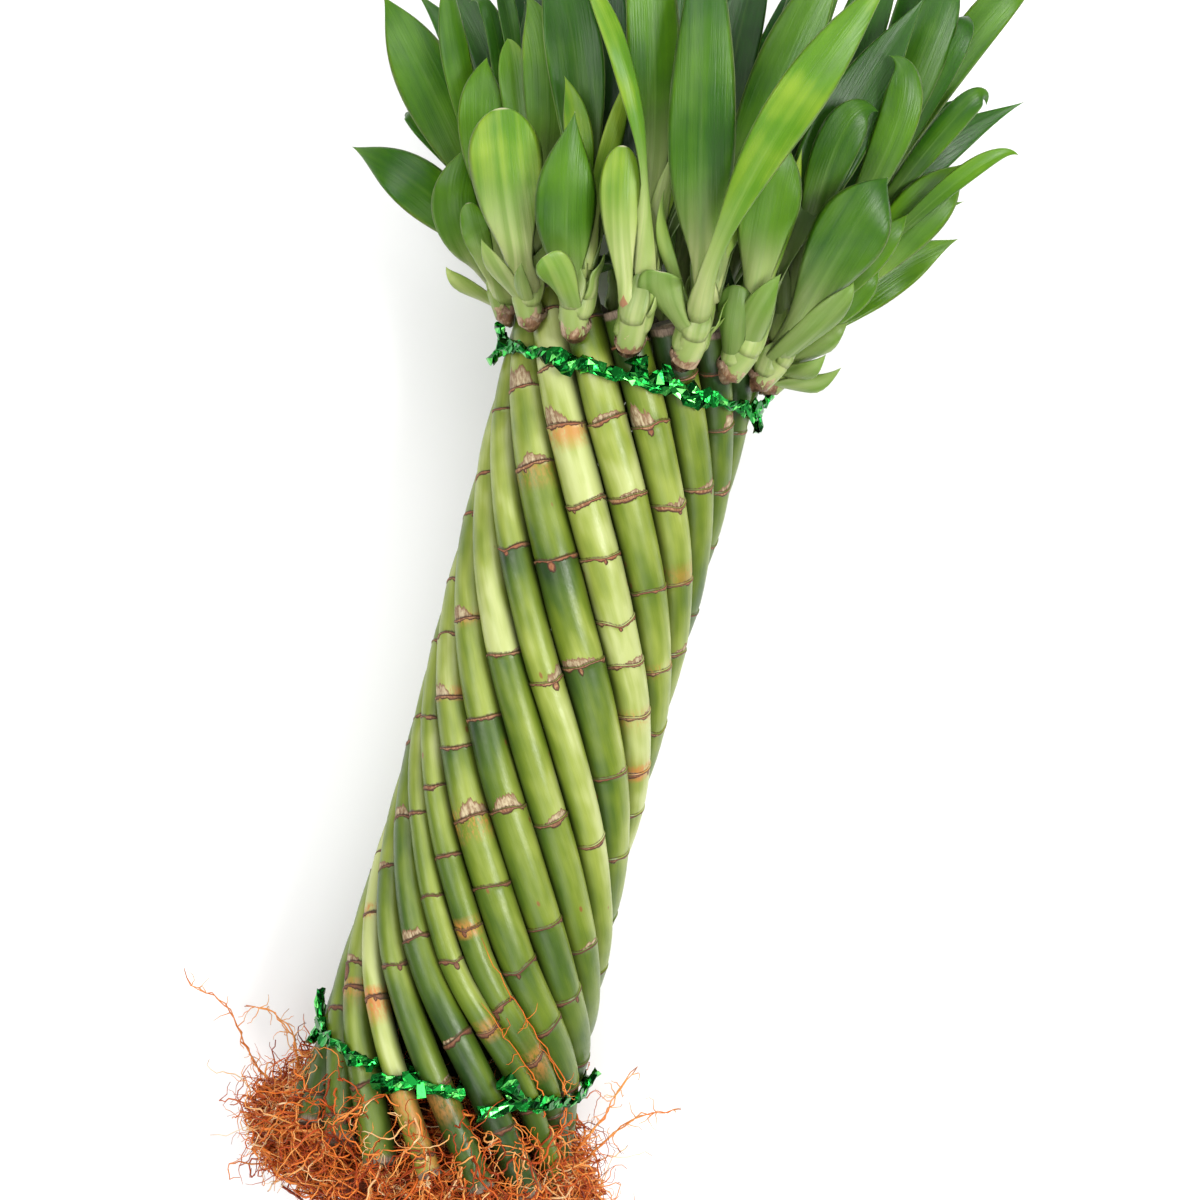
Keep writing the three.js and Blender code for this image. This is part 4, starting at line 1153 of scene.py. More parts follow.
def low_leaves():
    """The leaves of the shoots underneath. Two of those shoots rest on the surface with their lowest leaf."""
    rows = []
    for number in LOW_SHOOTS:
        draw = seeded(500 + number)
        home = stem_at(number - 1, 1)
        lowest = max(LOW_FLOOR + LOW_STAGGER, home.z - LOW_REACH)
        for k in range(LOW_LEAVES):
            drop = k / (LOW_LEAVES - 1)
            length = 88 - 30 * drop - 12 * draw()
            swing = home.x * LOW_FAN + either_way(draw, 0.2)
            bend = 0.7 * swing
            width = 12 + 4 * draw()
            start = 1 - 0.7 * drop
            base = stem_at(number - 1, start)
            along = base.y + 0.5 * length * math.cos(bend)
            level = LOW_START + (lowest - LOW_START) * drop - (number % 2) * LOW_STAGGER
            end = level - 3
            if number in RESTING_SHOOTS and k == LOW_LEAVES - 1:
                level = surface_level(along) + REST_DEPTH
                end = level + REST_CURL
            middle = (base.x + 0.5 * length * math.sin(bend), along, level)
            tip = (base.x + length * math.sin(swing), base.y + length * math.cos(swing), end)
            rows.append((number, "lance", width, start, middle, tip, 0, 0.32 + 0.38 * (1 - drop), 0.7))
    return rows


def back_leaves(index):
    home = stem_at(index, 1)
    draw = seeded(1700 + index)
    rows = []
    for k in range(BACK_LEAVES):
        sway = 0.25 * home.x + either_way(draw, 28)
        sink = 5 + 6 * k
        reach = BACK_REACH + 28 * draw()
        middle = (home.x + 0.35 * sway, home.y + 0.5 * reach, home.z - 0.5 * sink)
        tip = (home.x + sway, home.y + reach, home.z - sink)
        width = BACK_WIDTH + 5 * draw()
        roll = either_way(draw, 20)
        # Painted shade: these leaves are coloured dark, as the shade behind the front leaves
        rows.append((index + 1, "lance", width, 0.95, middle, tip, roll, 0.8 + 0.2 * draw(), 0.3))
    return rows


def heart_leaves(index):
    """The rolled young leaf at the middle of a shoot."""
    draw = seeded(1500 + index)
    top = stem_at(index, 1.05)
    out = outward_at(top)
    length = 38 + 16 * draw()
    sway = Vector((draw() - 0.5, 0, draw() - 0.5)) * 8
    middle = top + up_by(length * 0.5) + out * 3 + sway * 0.4
    tip = top + up_by(length) + out * 5 + sway
    return [(index + 1, "lance", 5.5, 0.95, middle, tip, 20, 0.25, 0.9)]


def foot_husks(index):
    """Short scale leaves that hug the foot of a shoot."""
    draw = seeded(1900 + index)
    out = outward_at(stem_at(index, 0.5))
    side = up_by(1).cross(out)
    rows = []
    for k, degrees in enumerate(HUSK_TURNS):
        start = 0.10 + 0.14 * k
        way = from_to(out, side, math.radians(degrees + either_way(draw, 30)))
        length = 7 + 1.5 * k + 4 * draw()
        base = stem_at(index, start)
        middle = base + way * 3.9 + up_by(length * 0.5)
        tip = base + way * (4.2 + 2.5 * draw()) + up_by(length)
        rows.append((index + 1, "husk", 6.2 + draw(), start, middle, tip, 0, 0.25 + 0.25 * draw(), 0.8))
    return rows


def outline_share(outline, u):
    """Half the width at that share of the length, as a share of the greatest."""
    widest, sharpness, neck = OUTLINES[outline]
    bulge = ((u / widest) ** widest * ((1 - u) / (1 - widest)) ** (1 - widest)) ** sharpness
    held = neck * (1 - smooth((u - 0.1) / 0.65))
    return (bulge**3 + held**3) ** (1 / 3)


def through(a, b, c, u):
    """A point of the curve through three points, as u goes from 0 to 1."""
    return a * ((1 - u) * (1 - 2 * u)) + b * (4 * u * (1 - u)) + c * (u * (2 * u - 1))


class Leafage:
    """The points, faces and painted values of one shoot."""

    def __init__(self):
        self.points, self.faces, self.finishes = [], [], []
        self.painted = {"shade": [], "pale": [], "scarred": [], "torn": [], "blade": [], "veins": []}

    def vertex(self, point, shade=0, pale=0, scarred=0, torn=0, blade=(0, 0, 0), veins=(0, 0, 0)):
        self.points.append(to_world(point))
        for values, value in zip(self.painted.values(), (shade, pale, scarred, torn, blade, veins)):
            values.append(value)

    def skin(self, start, rings, count, finish, closed=False, tip=None):
        """Quads between rings of count points. A skin that isn't a hoop is closed at both ends."""
        faces = tube_faces(start, rings, count, closed)
        last = start + (rings - 1) * count
        if not closed:
            faces.append(tuple(start + k for k in reversed(range(count))))
        if tip is not None:
            faces += [(last + k, last + (k + 1) % count, tip) for k in range(count)]
        elif not closed:
            faces.append(tuple(last + k for k in range(count)))
        self.faces += faces
        self.finishes += [finish] * len(faces)


def rim_point(centre, side, up, radius, angle):
    return centre + side * (radius * math.cos(angle)) + up * (radius * math.sin(angle))


def place_across(k):
    """From -1 to 1 across a leaf, a little closer together towards its edges."""
    last = LEAF_ACROSS - 1
    return 0.45 * (2 * k / last - 1) - 0.55 * math.cos(math.pi * k / last)


def grow_leaf(green, index, row, seed):
    """A leaf from its sheath, which wraps the stem, to its tip, through the middle that its row gives."""
    _, outline, width, start, middle, tip, roll, shade, pale = row
    draw = seeded(seed)
    base, middle, tip = stem_at(index, start), Vector(middle), Vector(tip)
    _, _, bend, crown = stem_points(index)
    axis = (crown - bend).normalized()
    away = middle - base
    away -= axis * away.dot(axis)
    out = away.normalized() if away.length > 0.5 else Vector((0, 0, 1))
    length = (middle - base).length + (tip - middle).length
    sheathed, hugging = outline not in UNSHEATHED, outline == "husk"
    underneath = out.z < -0.15
    upwards = -out if hugging else Vector((0, 0, 1 if underneath else -1))
    rings = LEAF_ALONG if length > LONG_LEAF else LEAF_ALONG // 2
    crowding = 1.3 if outline in ("lance", "ribbon") else 1.8  # of the rings towards a blunt tip
    fading = PALE_REACH_SPOON if outline == "spoon" else PALE_REACH
    wave_count, wave_phase, wave_lag = 1.2 + 1.8 * draw(), PHASES * draw(), 1 + 2 * draw()
    wave_size = EDGE_WAVE * (0.4 + 1.2 * draw())
    trough = BLADE_ANGLE * (0.5 + draw())
    turning = either_way(draw, LEAF_TURNING)
    sag = 0 if underneath or not sheathed else LEAF_SAG * length * draw()
    tone = shade + either_way(draw, 0.2)
    drift = VEIN_DRIFT * draw()
    scarred = 1 if row[:2] == SCARRED_LEAF else 0
    first = len(green.points)
    count = 2 * LEAF_ACROSS - 2

    def spine(u):
        return through(base, middle, tip, u)

    for i in range(rings):
        u = 1 - (1 - i / rings) ** crowding
        opened = smooth(u / SHEATH_END) if sheathed else smooth(u)
        centre = spine(u)
        half = width * outline_share(outline, u) / 2
        ash = pale * (1 - 0.6 * u)
        if sheathed:
            centre += out * (SHEATH_RADIUS * 0.8 * (1 - smooth(u / 0.3)))
            half = max(half, SHEATH_RADIUS * (1 - smooth(u / 0.45)) * 0.95)
            ash = pale * (1 - smooth((u - 0.06) / fading))
        elif hugging:
            centre += out * (SHEATH_RADIUS * (1 - smooth(u / 0.6)))
        centre.z -= sag * smooth((u - 0.5) / 0.5) ** 2
        along = (spine(u + 0.01) - spine(u - 0.01)).normalized()
        rolled = Matrix.Rotation(math.radians(roll + turning * (u - 0.4)), 3, along)
        lift = rolled @ square_to(along, upwards)
        face = (square_to(along, -out) * (1 - opened) + lift * (opened + 0.001)).normalized()
        across = along.cross(face).normalized()
        angle = mix(SHEATH_ANGLE if sheathed else SCALE_ANGLE, trough, opened)
        radius = half / math.sin(min(angle, math.pi / 2))
        thick = LEAF_THICKNESS * (1 - 0.5 * u) * min(1, 0.25 + half / 2)
        for j in range(count):
            upper = j < LEAF_ACROSS
            t = place_across(j if upper else count - j)
            a = angle * t
            lag = wave_lag if t > 0 else 0
            crest = half * wave_size * opened * t * t * math.sin(wave_phase + PHASES * wave_count * u + lag)
            fold = -TROUGH_DEPTH * half * math.exp(-((t / TROUGH_WIDTH) ** 2)) * opened
            depth = thick / 2 * math.sqrt(max(0, 1 - t**4)) * (1 if upper else -1)
            rise = radius * (1 - math.cos(a)) + crest + fold
            point = centre + across * (radius * math.sin(a)) + face * rise
            point += (face * math.cos(a) - across * math.sin(a)) * depth
            veins = (t * half * 2.4 + drift, u * length * 0.05, drift)
            green.vertex(point, tone, ash, scarred, blade=(t, u, 0), veins=veins)
    apex = len(green.points)
    green.vertex(tip - Vector((0, 0, sag)), tone, blade=(0, 1, 0), veins=(drift, length * 0.05, drift))
    green.skin(first, rings, count, 0, tip=apex)


def grow_stem(green, index, seed):
    """A short fleshy stem, and a torn brown collar where it leaves the cane."""
    draw = seeded(seed)
    foot, low, middle, high = stem_points(index)
    spine = [foot, foot.lerp(low, 0.5), low, low.lerp(middle, 0.5), middle]
    spine += [middle.lerp(high, k / 7) for k in range(1, 8)]
    ends = [spine[0], *spine, spine[-1]]
    first = len(green.points)
    for i, centre in enumerate(spine):
        along = (ends[i + 2] - ends[i]).normalized()
        side = along.cross(Vector((0.2, 0.1, 1))).normalized()
        up = along.cross(side)
        for k in range(STEM_SIDES):
            a = math.tau * k / STEM_SIDES
            r = STEM_RADII[i] * (1 + 0.035 * math.sin(3 * a + i))
            blade, veins = (0.5, 0.1 + 0.02 * i, 0), (r * a, i * 0.3, 3)
            green.vertex(rim_point(centre, side, up, r, a), 0.45, 0.85, 0, STEM_TORN[i], blade, veins)
    green.skin(first, len(spine), STEM_SIDES, 0)

    # The collar: a thin frill whose rim is torn
    first = len(green.points)
    along = (middle - foot).normalized()
    side = along.cross(Vector((0.3, 0.2, 1))).normalized()
    up = along.cross(side)
    tears = [COLLAR_TEAR * draw() ** 2 for _ in range(COLLAR_SIDES)]
    for rise, radius in COLLAR:
        for k in range(COLLAR_SIDES):
            a = math.tau * k / COLLAR_SIDES
            centre = foot + along * (rise * 0.8 + (tears[k] if rise > 2 else 0))
            r = radius * (1 + 0.05 * math.sin(2 * a + 1) + either_way(draw, 0.04))
            green.vertex(rim_point(centre, side, up, r, a))
    green.skin(first, len(COLLAR), COLLAR_SIDES, 1, closed=True)


def make_shoots():
    rows = FRONT_LEAVES + low_leaves()
    for index in range(len(CANES)):
        number = index + 1
        green = Leafage()
        grow_stem(green, index, 1200 + index)
        mine = [row for row in rows if row[0] == number] + heart_leaves(index) + foot_husks(index)
        if number not in LOW_SHOOTS:
            mine += back_leaves(index)
        for k, row in enumerate(mine):
            grow_leaf(green, index, row, 1300 + 40 * index + k)
        finishes = [LEAF_BLADE, DRY_HUSK]
        piece = plain_mesh(f"shoot_look_{number:02d}", green.points, green.faces, finishes, green.finishes)
        for key, values in green.painted.items():
            paint(piece.data, key, values)
        settle(piece, "shoot", f"shoot_{number:02d}")


# Ties: crumpled foil twisted round a wire

CLEARANCE = 0.3
TIE_WIRE = 1.9
LOWER_WIRE = 1.5
TIE_CORNERS = 36
FOIL_WIDTH = 2.0  # half the width of the band, along the bunch
FOIL_DEPTH = 1.0  # half its thickness
FOIL_SIDES = 6
FOIL_STEP = 1.7
FOIL_BUNCHES = 7  # in which a strand is gathered
FLAKES = 44
FLAKE_ROWS = ((0, 0.8), (0.5, 1.25), (1, 1.0))  # share of a flake's length, and half its width there
END_STEPS = (0, 0.2, 0.4, 0.6, 0.8, 1)

# Free ends: azimuth where they leave the tie, then how far they run round, along the bunch and outwards
UPPER_ENDS = [
    (7, -3, 5, 2.5), (9, 4, 4, 2), (-84, -2, 5, 2), (-88, 2, -5, 1.5), (84, 2, 5, 2), (88, 0, -5, 1.5),
]
LOWER_ENDS = [
    (35, -8, 6, 1.5), (34, -11, -3, 2), (-9, -11, -3, 1.2), (-84, -2, 8, 1.5), (-76, 2, -4, 2), (80, 2, 6, 2),
]


def gap_azimuth(k):
    """Where a cane and the next one are closest, at the lower tie."""
    following = (k + 1) % len(CANES)
    span = math.tau * pitch(k, 0) / sum(pitch(i, 0) for i in range(len(CANES)))
    return azimuth(k, 0) - span * CANES[k][0] / (CANES[k][0] + CANES[following][0])


def lower_path():
    """Round the outside of the canes, but inside of the tucked ones."""
    outside = TUBE_RADIUS_FOOT + CLEARANCE + LOWER_WIRE / 2
    points = []
    for k, (diameter, _, _) in enumerate(CANES):
        start = gap_azimuth((k - 1) % len(CANES)) + (math.tau if k == 0 else 0)
        end = gap_azimuth(k)
        if k in TUCKED_CANES:
            inside = TUBE_RADIUS_FOOT - diameter - CLEARANCE - LOWER_WIRE / 2
            points.append(round_point(start, outside, 0))
            points += [round_point(turn, inside, 0) for turn in (start, (start + end) / 2, end)]
            points.append(round_point(end, outside, 0))
        else:
            quarter = (start - end) / 4
            points += [round_point(start - quarter, outside, 0), round_point(end + quarter, outside, 0)]
    return points


def upper_path():
    radius = TUBE_RADIUS_TOP + CLEARANCE + TIE_WIRE / 2
    return [round_point(math.tau * i / TIE_CORNERS, radius, TIE_SPAN) for i in range(TIE_CORNERS)]


def resampled(points, step, closed):
    """Points at equal steps along a path."""
    path = points + [points[0]] if closed else points
    lengths = [(b - a).length for a, b in zip(path, path[1:])]
    count = max(3, round(sum(lengths) / step))
    result, k, passed = [], 0, 0.0
    for i in range(count):
        target = sum(lengths) * i / (count if closed else count - 1)
        while k < len(lengths) - 1 and passed + lengths[k] < target:
            passed += lengths[k]
            k += 1
        result.append(path[k].lerp(path[k + 1], min(1, (target - passed) / lengths[k])))
    return result


def crumpled(points, width, depth, draw, closed, flare=0.0, bunching=0.35):
    """Rings of points of a crumpled foil strand along a path, in bunches, wider by flare at its far end."""
    rings = []
    count = len(points)
    turn = 0
    phase = PHASES * draw()
    for i, point in enumerate(points):
        before = points[i - 1] if closed or i else points[0]
        after = points[(i + 1) % count] if closed or i < count - 1 else points[-1]
        along = (after - before).normalized()
        out = square_to(along, outward_at(point))
        side = along.cross(out)
        turn += either_way(draw, 1.2)
        bunch = 1 + bunching * math.sin(phase + math.tau * FOIL_BUNCHES * i / count)
        size = bunch * (0.65 + 0.6 * draw()) * (1 + flare * i / count)
        ring = []
        for k in range(FOIL_SIDES):
            a = math.tau * (k + either_way(draw, 0.7)) / FOIL_SIDES + turn
            r = size * (0.55 + 0.8 * draw())
            slip = along * either_way(draw, 0.9)
            ring.append(point + side * (width * r * math.cos(a)) + out * (depth * r * math.sin(a)) + slip)
        rings.append(ring)
    return rings


def strand_faces(rings, start, closed):
    count, total = len(rings[0]), len(rings)
    faces = []
    for a, b, d, c in tube_faces(start, total, count, closed):
        faces += [(a, d, b), (a, c, d)]
    if not closed:
        faces.append(tuple(start + k for k in range(count)))
        faces.append(tuple(start + (total - 1) * count + k for k in reversed(range(count))))
    return faces


def flake(point, draw):
    """A small flat piece of foil that stands off a strand, as rings of four points."""
    out = outward_at(point)
    heading = from_to(up_by(1), up_by(1).cross(out), PHASES * draw())
    heading = (heading + out * 0.3).normalized()
    side = heading.cross(out).normalized()
    length = 2.2 + 1.8 * draw()
    bend = either_way(draw, 1.2)
    thick = out * 0.1
    rings = []
    for share, half_width in FLAKE_ROWS:
        centre = point + out * (0.8 + bend * share**2) + heading * (length * (share - 0.2))
        half = side * (half_width * (0.8 + 0.4 * draw()))
        ring = [centre + half - thick, centre + half + thick, centre - half + thick, centre - half - thick]
        rings.append(ring)
    return rings


def make_tie(node, path, ends, level, radius, narrow, seed):
    draw, shine = seeded(seed), seeded(seed + 1)
    points, faces, facet_reflections = [], [], []

    def lay(rings, closed, painted_reflection=None):
        """Adds a strand or a flake. Its facets all have that painted reflection, or each its own."""
        added = strand_faces(rings, len(points), closed)
        faces.extend(added)
        facet_reflections.extend(shine() if painted_reflection is None else painted_reflection for _ in added)
        points.extend(p for ring in rings for p in ring)

    main = resampled(path, FOIL_STEP, True)
    lay(crumpled(main, FOIL_WIDTH * narrow, FOIL_DEPTH * narrow, draw, True), True)

    # A second, looser strand wound round the first
    wound = []
    for i, p in enumerate(main):
        a = 0.9 * i
        wound.append(p + outward_at(p) * (0.4 + 0.35 * math.sin(a)) + up_by(1.1 * math.cos(a)))
    lay(crumpled(wound, FOIL_WIDTH * 0.7 * narrow, FOIL_DEPTH * 0.9 * narrow, draw, True), True)

    # The free ends, each of two narrow strands that widen
    for degrees, around, along, out in ends:
        turn = math.radians(degrees)
        way = []
        for share in END_STEPS:
            reach = radius + out * share
            way.append(round_point(turn + around * share / radius, reach, level + along * share))
        for offset in (-0.6, 0.5):
            shifted = [p + Vector((offset * 0.8, offset * 0.6, 0.4 * offset)) for p in way]
            lay(crumpled(shifted, 1.3, 0.6, draw, False, 0.7, 0.1), False)
    for _ in range(FLAKES):
        # Each flake has one lighter painted reflection
        lay(flake(main[int(len(main) * draw())], draw), False, 0.35 + 0.5 * shine())
    places = [to_world(p) for p in points]
    piece = plain_mesh(node + "_look", places, faces, [GREEN_FOIL], smooth_faces=False)
    # Painted reflections, one for each facet
    paint(piece.data, "painted_reflection", facet_reflections, "FACE")
    settle(piece, "foil", node)


# Roots

MAT_CENTRE = Vector((-1, -30, -5))
MAT_SIZE = Vector((40, 16, 33))
MAT_ACROSS = 40  # rows of its points
MAT_AROUND = 72  # points in a row
MAT_BUMPS = 60
BUMP_SPREAD = 0.03
ROOT_SIDES = 4
ROOT_STEPS = 15
ROOT_END = -54  # the lowest that one reaches
ROOT_TAPER = 0.6
BRANCH_STEPS = 5
STRAY_STEP = 2.2
STRAY_WRIGGLE = 1.2
MAT_ROOTS = 1000  # that wind round the mat
FRINGE_ROOTS = 1100  # that stand clear of it
FOOT_ROOTS = 44  # that leave the side of each cane
END_ROOTS = 16  # that leave its cut end

# Ways of the loose roots that stray from the mat
STRAYS = [
    [
        (-38, -30, -18), (-46, -28, -22), (-56, -21, -26), (-62, -14, -30), (-68, -11, -32), (-75, -11, -34),
        (-78, -7, -35),
    ],
    [(-36, -22, -2), (-42, -8, -5), (-50, -4, -9), (-57, -6, -13)],
    [(38, -26, -8), (46, -16, -11), (53, -8, -15), (64, -5, -20)],
    [(36, -20, 8), (42, -4, 12), (47, 12, 12)],
]

# Roots that climb: cane, how far beside it, from and to which height
CLIMBERS = [(11, 0.5, -8, 40), (12, 0.45, -4, 24), (11, 0.35, -10, 16), (9, 0.5, -12, 6)]
CLIMBER_POINTS = 24


def floor_lift(point, radius):
    """The point, lifted clear of the surface."""
    return Vector((point.x, point.y, max(point.z, surface_level(point.y) + radius)))


def sphere_way(draw, low=-1.0, high=1.0):
    """Any direction whose rise up the bunch is between those two."""
    rise = mix(low, high, draw())
    turn = math.tau * draw()
    flat = math.sqrt(max(0, 1 - rise * rise))
    return Vector((flat * math.cos(turn), rise, flat * math.sin(turn)))


def scaled_by(way, size):
    return Vector((way.x * size.x, way.y * size.y, way.z * size.z))


@lru_cache(maxsize=None)
def axis_near(index, half_millimetres):
    return cane_point(index, half_millimetres / 2)


def clear_of_canes(point, margin):
    """The point, pushed out of any cane that it is in."""
    for index, (diameter, _, _) in enumerate(CANES):
        if point.y > CANE_FOOT - margin:
            axis = axis_near(index, round(2 * point.y))
            apart = Vector((point.x - axis.x, 0, point.z - axis.z))
            least = diameter / 2 + CANE_SWELL + margin
            if apart.length < least:
                point = point + apart.normalized() * (least - apart.length)
    return point


def wander(point, heading, stride, sway, pull, draw, steps=ROOT_STEPS - 1):
    """A wriggling way, which is pulled steadily in one direction."""
    points = [point]
    for _ in range(steps):
        heading = (heading + any_way(draw) * sway + pull).normalized()
        point = point + heading * stride
        points.append(point)
    return points


def mat_root(draw):
    """A root that winds round the mat."""
    way = sphere_way(draw, -1, 0.8)
    axis = any_way(draw).cross(way).normalized()
    layer = 0.9 + 0.3 * draw()
    step = 0.05 + 0.07 * draw()
    points = []
    for _ in range(ROOT_STEPS):
        reach = layer + either_way(draw, 0.16)
        points.append(scaled_by(way, MAT_SIZE) * reach + MAT_CENTRE)
        way = Matrix.Rotation(step, 3, axis) @ way
        axis = (Matrix.Rotation(either_way(draw, 2.4), 3, way) @ axis).normalized()
    return points


def fringe_root(draw):
    """A root that stands clear of the mat."""
    way = sphere_way(draw, -0.8, 0.95)
    heading = scaled_by(way, Vector((1, 0.6, 1))).normalized()
    point = scaled_by(way, MAT_SIZE) * (0.98 + 0.12 * draw()) + MAT_CENTRE
    return wander(point, heading, 0.8 + 1.5 * draw() ** 2, 1.7, Vector((0, 0, -0.1)), draw)


def foot_root(index, draw):
    """A root from the side of a cane's lower end."""
    centre, outward, sideways = cane_frame(index, mix(CANE_FOOT, -7, draw() ** 1.5))
    way = from_to(outward, sideways, either_way(draw, 2.6))
    point = centre + way * (CANES[index][0] / 2)
    return wander(point, way * 0.8 + up_by(-0.5), 0.8 + 0.9 * draw(), 1.5, Vector((0, -0.14, -0.05)), draw)


def end_root(index, draw):
    """A root from the cut end of a cane."""
    foot, _ = cane_ends(index)
    centre, outward, sideways = cane_frame(index, foot)
    way = from_to(outward, sideways, PHASES * draw())
    point = centre + way * (CANES[index][0] / 2 * math.sqrt(draw())) - up_by(0.1)
    return wander(point, way * 0.5 + up_by(-0.7), 0.5 + 0.7 * draw(), 1.8, outward * 0.1, draw)


def climbing_root(index, aside, low, high, draw):
    """A root that lies along the canes, above their feet."""
    points = []
    for k in range(CLIMBER_POINTS):
        y = mix(low, high, k / (CLIMBER_POINTS - 1))
        turn = azimuth(index, max(0, y)) + aside * math.radians(14) + either_way(draw, 0.02)
        points.append(round_point(turn, tube_radius(y) + 0.5 + 0.9 * draw(), y) + any_way(draw))
    return points


def stray_root(points, draw):
    path = resampled([Vector(p) for p in points], STRAY_STEP, False)
    return [p + any_way(draw) * STRAY_WRIGGLE for p in path]


def branch(parent, draw):
    """A short side root."""
    start = parent[int(len(parent) * (0.3 + 0.6 * draw()))]
    return wander(start, any_way(draw).normalized(), 0.8 + 0.5 * draw(), 1.4, up_by(0), draw, BRANCH_STEPS)


def thickness(draw, least, more):
    """A root's radius. Most are thin."""
    return least + more * draw() ** 2


class Strands:
    """The paths of some roots, with what is painted on them."""

    def __init__(self):
        self.paths = []
        self.painted = {"girth": [], "hue": [], "along": []}

    def lay(self, points, girth, hue):
        """Adds a root that tapers, clear of the canes and the surface."""
        path = []
        for i, point in enumerate(points):
            share = i / (len(points) - 1)
            point = floor_lift(clear_of_canes(point, girth + 0.1), girth)
            point.y = max(point.y, ROOT_END)
            path.append(to_world(point))
            self.painted["girth"].append(girth * (1 - ROOT_TAPER * share) * MM)
            self.painted["hue"].append(hue)
            self.painted["along"].append(share)
        self.paths.append(path)

    def lay_branches(self, root, number, girth, hue, draw):
        for _ in range(number):
            self.lay(branch(root, draw), girth, hue)

    def settle(self, name, grower, *nodes):
        mesh = path_mesh(name + "_paths", self.paths, self.painted)
        piece = grower.grow(name, mesh, {"Sides": ROOT_SIDES, "Finish": ROOT_SKIN})
        settle(piece, "roots", *nodes)


def make_roots(grower):
    draw = seeded(2100)
    mat = Strands()
    for _ in range(MAT_ROOTS):
        mat.lay(mat_root(draw), thickness(draw, 0.2, 0.34), 0.05 + 0.75 * draw())
    mat.settle("mat_roots_look", grower, "roots")

    fringe = Strands()
    for _ in range(FRINGE_ROOTS):
        root = fringe_root(draw)
        hue = 0.2 + 0.8 * draw()
        fringe.lay(root, thickness(draw, 0.16, 0.24), hue)
        fringe.lay_branches(root, 1 if draw() > 0.5 else 0, 0.13, hue, draw)
    for points in STRAYS:
        for _ in range(2):
            root = stray_root(points, draw)
            fringe.lay(root, 0.3, 0.7)
            fringe.lay_branches(root, 6, 0.16, 0.8, draw)
    fringe.settle("fringe_roots_look", grower)

    feet = Strands()
    for index in range(len(CANES)):
        for kind in [foot_root] * FOOT_ROOTS + [end_root] * END_ROOTS:
            feet.lay(kind(index, draw), thickness(draw, 0.14, 0.24), 0.05 + 0.9 * draw())
    for index, aside, low, high in CLIMBERS:
        root = climbing_root(index, aside, low, high, draw)
        feet.lay(root, 0.24, 0.55)
        feet.lay_branches(root, 5, 0.13, 0.6, draw)
    feet.settle("foot_roots_look", grower)


def make_mat():
    """The dark tangle inside the roots: a lumpy ball, each of whose poles is one point."""
    draw = seeded(2300)
    bumps = [(sphere_way(draw), 0.05 + 0.06 * draw()) for _ in range(MAT_BUMPS)]
    points, faces = [], []
    for i in range(MAT_ACROSS + 1):
        polar = math.pi * i / MAT_ACROSS
        for k in range(MAT_AROUND if 0 < i < MAT_ACROSS else 1):
            turn = math.tau * k / MAT_AROUND
            flat = math.sin(polar)
            way = Vector((flat * math.cos(turn), math.cos(polar), flat * math.sin(turn)))
            lump = sum(height * math.exp(-((way - at).length_squared) / BUMP_SPREAD) for at, height in bumps)
            point = scaled_by(way, MAT_SIZE) * (0.93 + lump) + MAT_CENTRE
            points.append(to_world(floor_lift(point, 0.2)))

    def corner(i, k):
        """The number of a point."""
        if i == 0:
            return 0
        return 1 + (i - 1) * MAT_AROUND + (k % MAT_AROUND if i < MAT_ACROSS else 0)

    for i in range(MAT_ACROSS):
        for k in range(MAT_AROUND):
            corners = [corner(i, k), corner(i, k + 1), corner(i + 1, k + 1), corner(i + 1, k)]
            faces.append(tuple(dict.fromkeys(corners)))
    settle(plain_mesh("root_mat_look", points, faces, [ROOT_MAT]), "roots")


# Stage, light and camera

PIXEL = 0.26  # millimetres on the plane through the bunch
FRAME_SIDE = 1200 * PIXEL
DISTANCE = 2480 * PIXEL
SENSOR = 36
LEAN = math.radians(5.2)  # of the camera, from square on to the bunch
LEAN_FROM = 95  # height on the bunch that the leaning plane goes through
AIM = (7.1, 125.3)  # what the middle of the picture shows on that plane
ROLL = (0.9667, 0.2559)
FLOOR_SIDE = 3.0  # half of it
WORLD_STRENGTH = 0.3

# Each light: its name, place, size and power
LIGHTS = [
    ("right", (0.7, 0.2, 1.05), 0.5, 15),
    ("left", (-0.7, 0.1, 1.05), 0.7, 9),
    ("head", (-0.1, 0.85, 1.0), 0.8, 6.5),
    ("foot", (0.1, -0.85, 1.0), 0.8, 6),
]


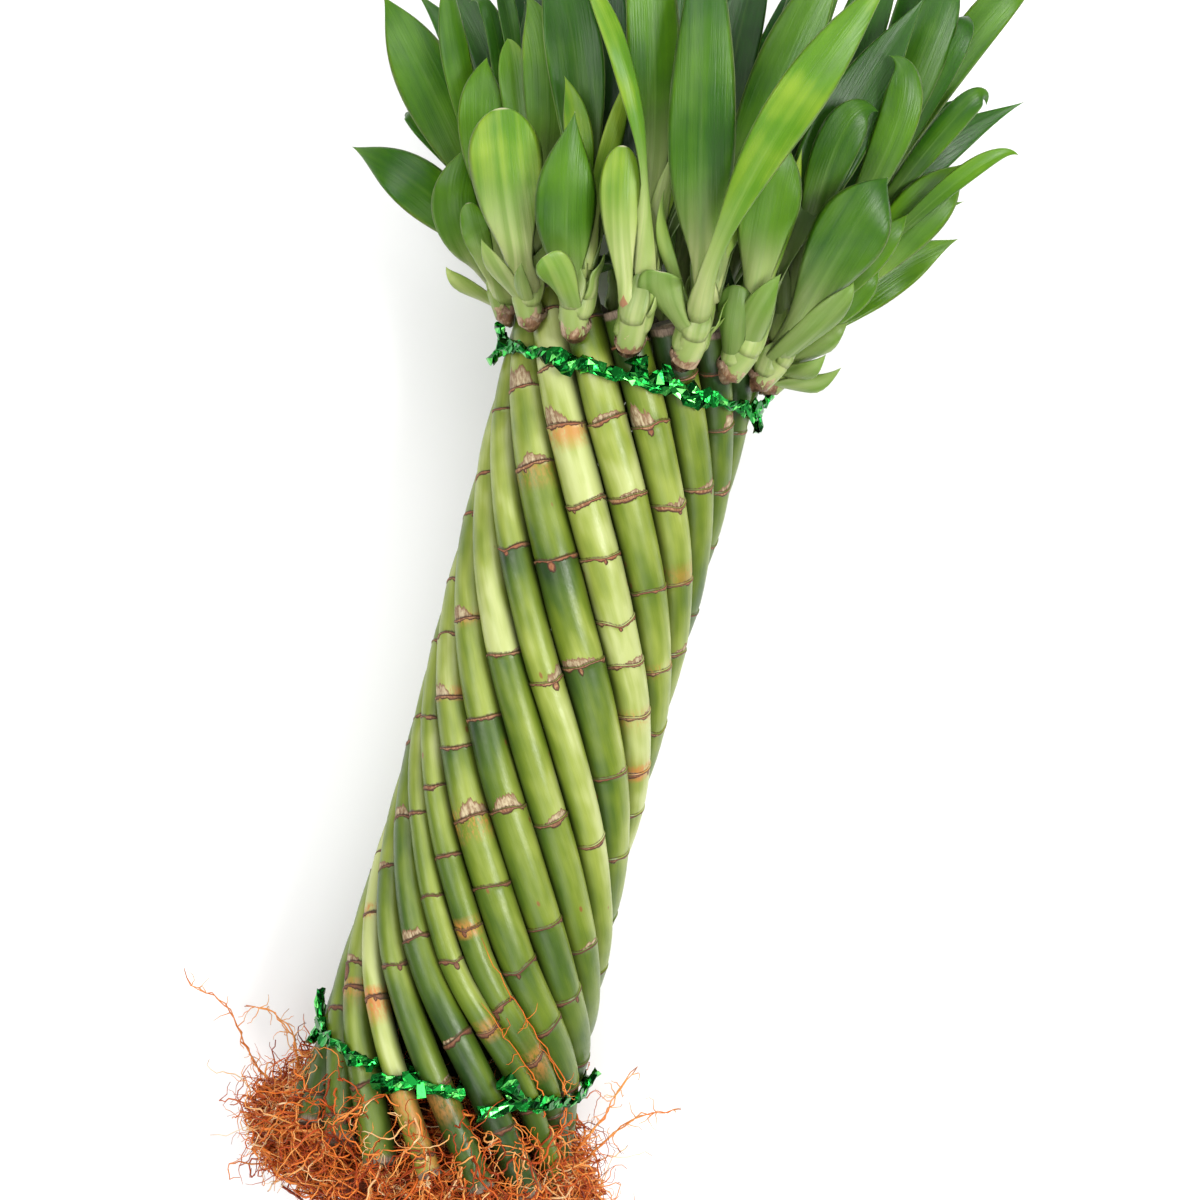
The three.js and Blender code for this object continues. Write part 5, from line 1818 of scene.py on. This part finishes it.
def make_camera():
    along = Vector((0, math.cos(LEAN), -math.sin(LEAN)))
    toward = Vector((0, math.sin(LEAN), math.cos(LEAN)))
    target = Vector((AIM[0], LEAN_FROM, 0)) + along * (AIM[1] - LEAN_FROM)
    right = Vector((ROLL[0], 0, 0)) + along * ROLL[1]
    up = along * ROLL[0] - Vector((ROLL[1], 0, 0))
    axes = Matrix([turned(way) for way in (right, up, toward)]).transposed()
    data = bpy.data.cameras.new("camera")
    data.sensor_width = SENSOR
    data.lens = SENSOR * DISTANCE / FRAME_SIDE
    data.clip_start, data.clip_end = 0.01, 20
    camera = placed("camera", data)
    camera.matrix_world = Matrix.Translation(to_world(target + toward * DISTANCE)) @ axes.to_4x4()
    bpy.context.scene.camera = camera


def make_light(name, place, size, power):
    """A square area light that shines at the origin."""
    data = bpy.data.lights.new(name, "AREA")
    data.shape = "SQUARE"
    data.size = size
    data.energy = power
    turn = (-Vector(place)).to_track_quat("-Z", "Y").to_matrix()
    placed(name, data).matrix_world = Matrix.Translation(place) @ turn.to_4x4()


def make_studio():
    f = Finish("pale_floor")
    f.set("Base Color", (0.9, 0.9, 0.9, 1))
    f.set("Roughness", 0.9)
    f.set("Specular IOR Level", 0.1)
    corners = [(x * FLOOR_SIDE, y * FLOOR_SIDE, 0) for x, y in ((-1, -1), (1, -1), (1, 1), (-1, 1))]
    plain_mesh("floor", corners, [(0, 1, 2, 3)], [f.material], smooth_faces=False)
    for light in LIGHTS:
        make_light(*light)
    world = bpy.data.worlds.new("studio")
    world.use_nodes = True
    background = world.node_tree.nodes["Background"].inputs
    background["Color"].default_value = (1, 1, 1, 1)
    background["Strength"].default_value = WORLD_STRENGTH
    scene = bpy.context.scene
    scene.world = world
    scene.view_settings.view_transform = "Standard"
    scene.view_settings.look = "None"


make_camera()
make_canes(cane_grower())
make_shoots()
make_tie("tie_top", upper_path(), UPPER_ENDS, TIE_SPAN, TUBE_RADIUS_TOP + 1.25, 1.0, 3100)
make_tie("tie_bottom", lower_path(), LOWER_ENDS, 0, TUBE_RADIUS_FOOT + 1.05, 0.8, 3200)
make_mat()
make_roots(root_grower())
make_studio()
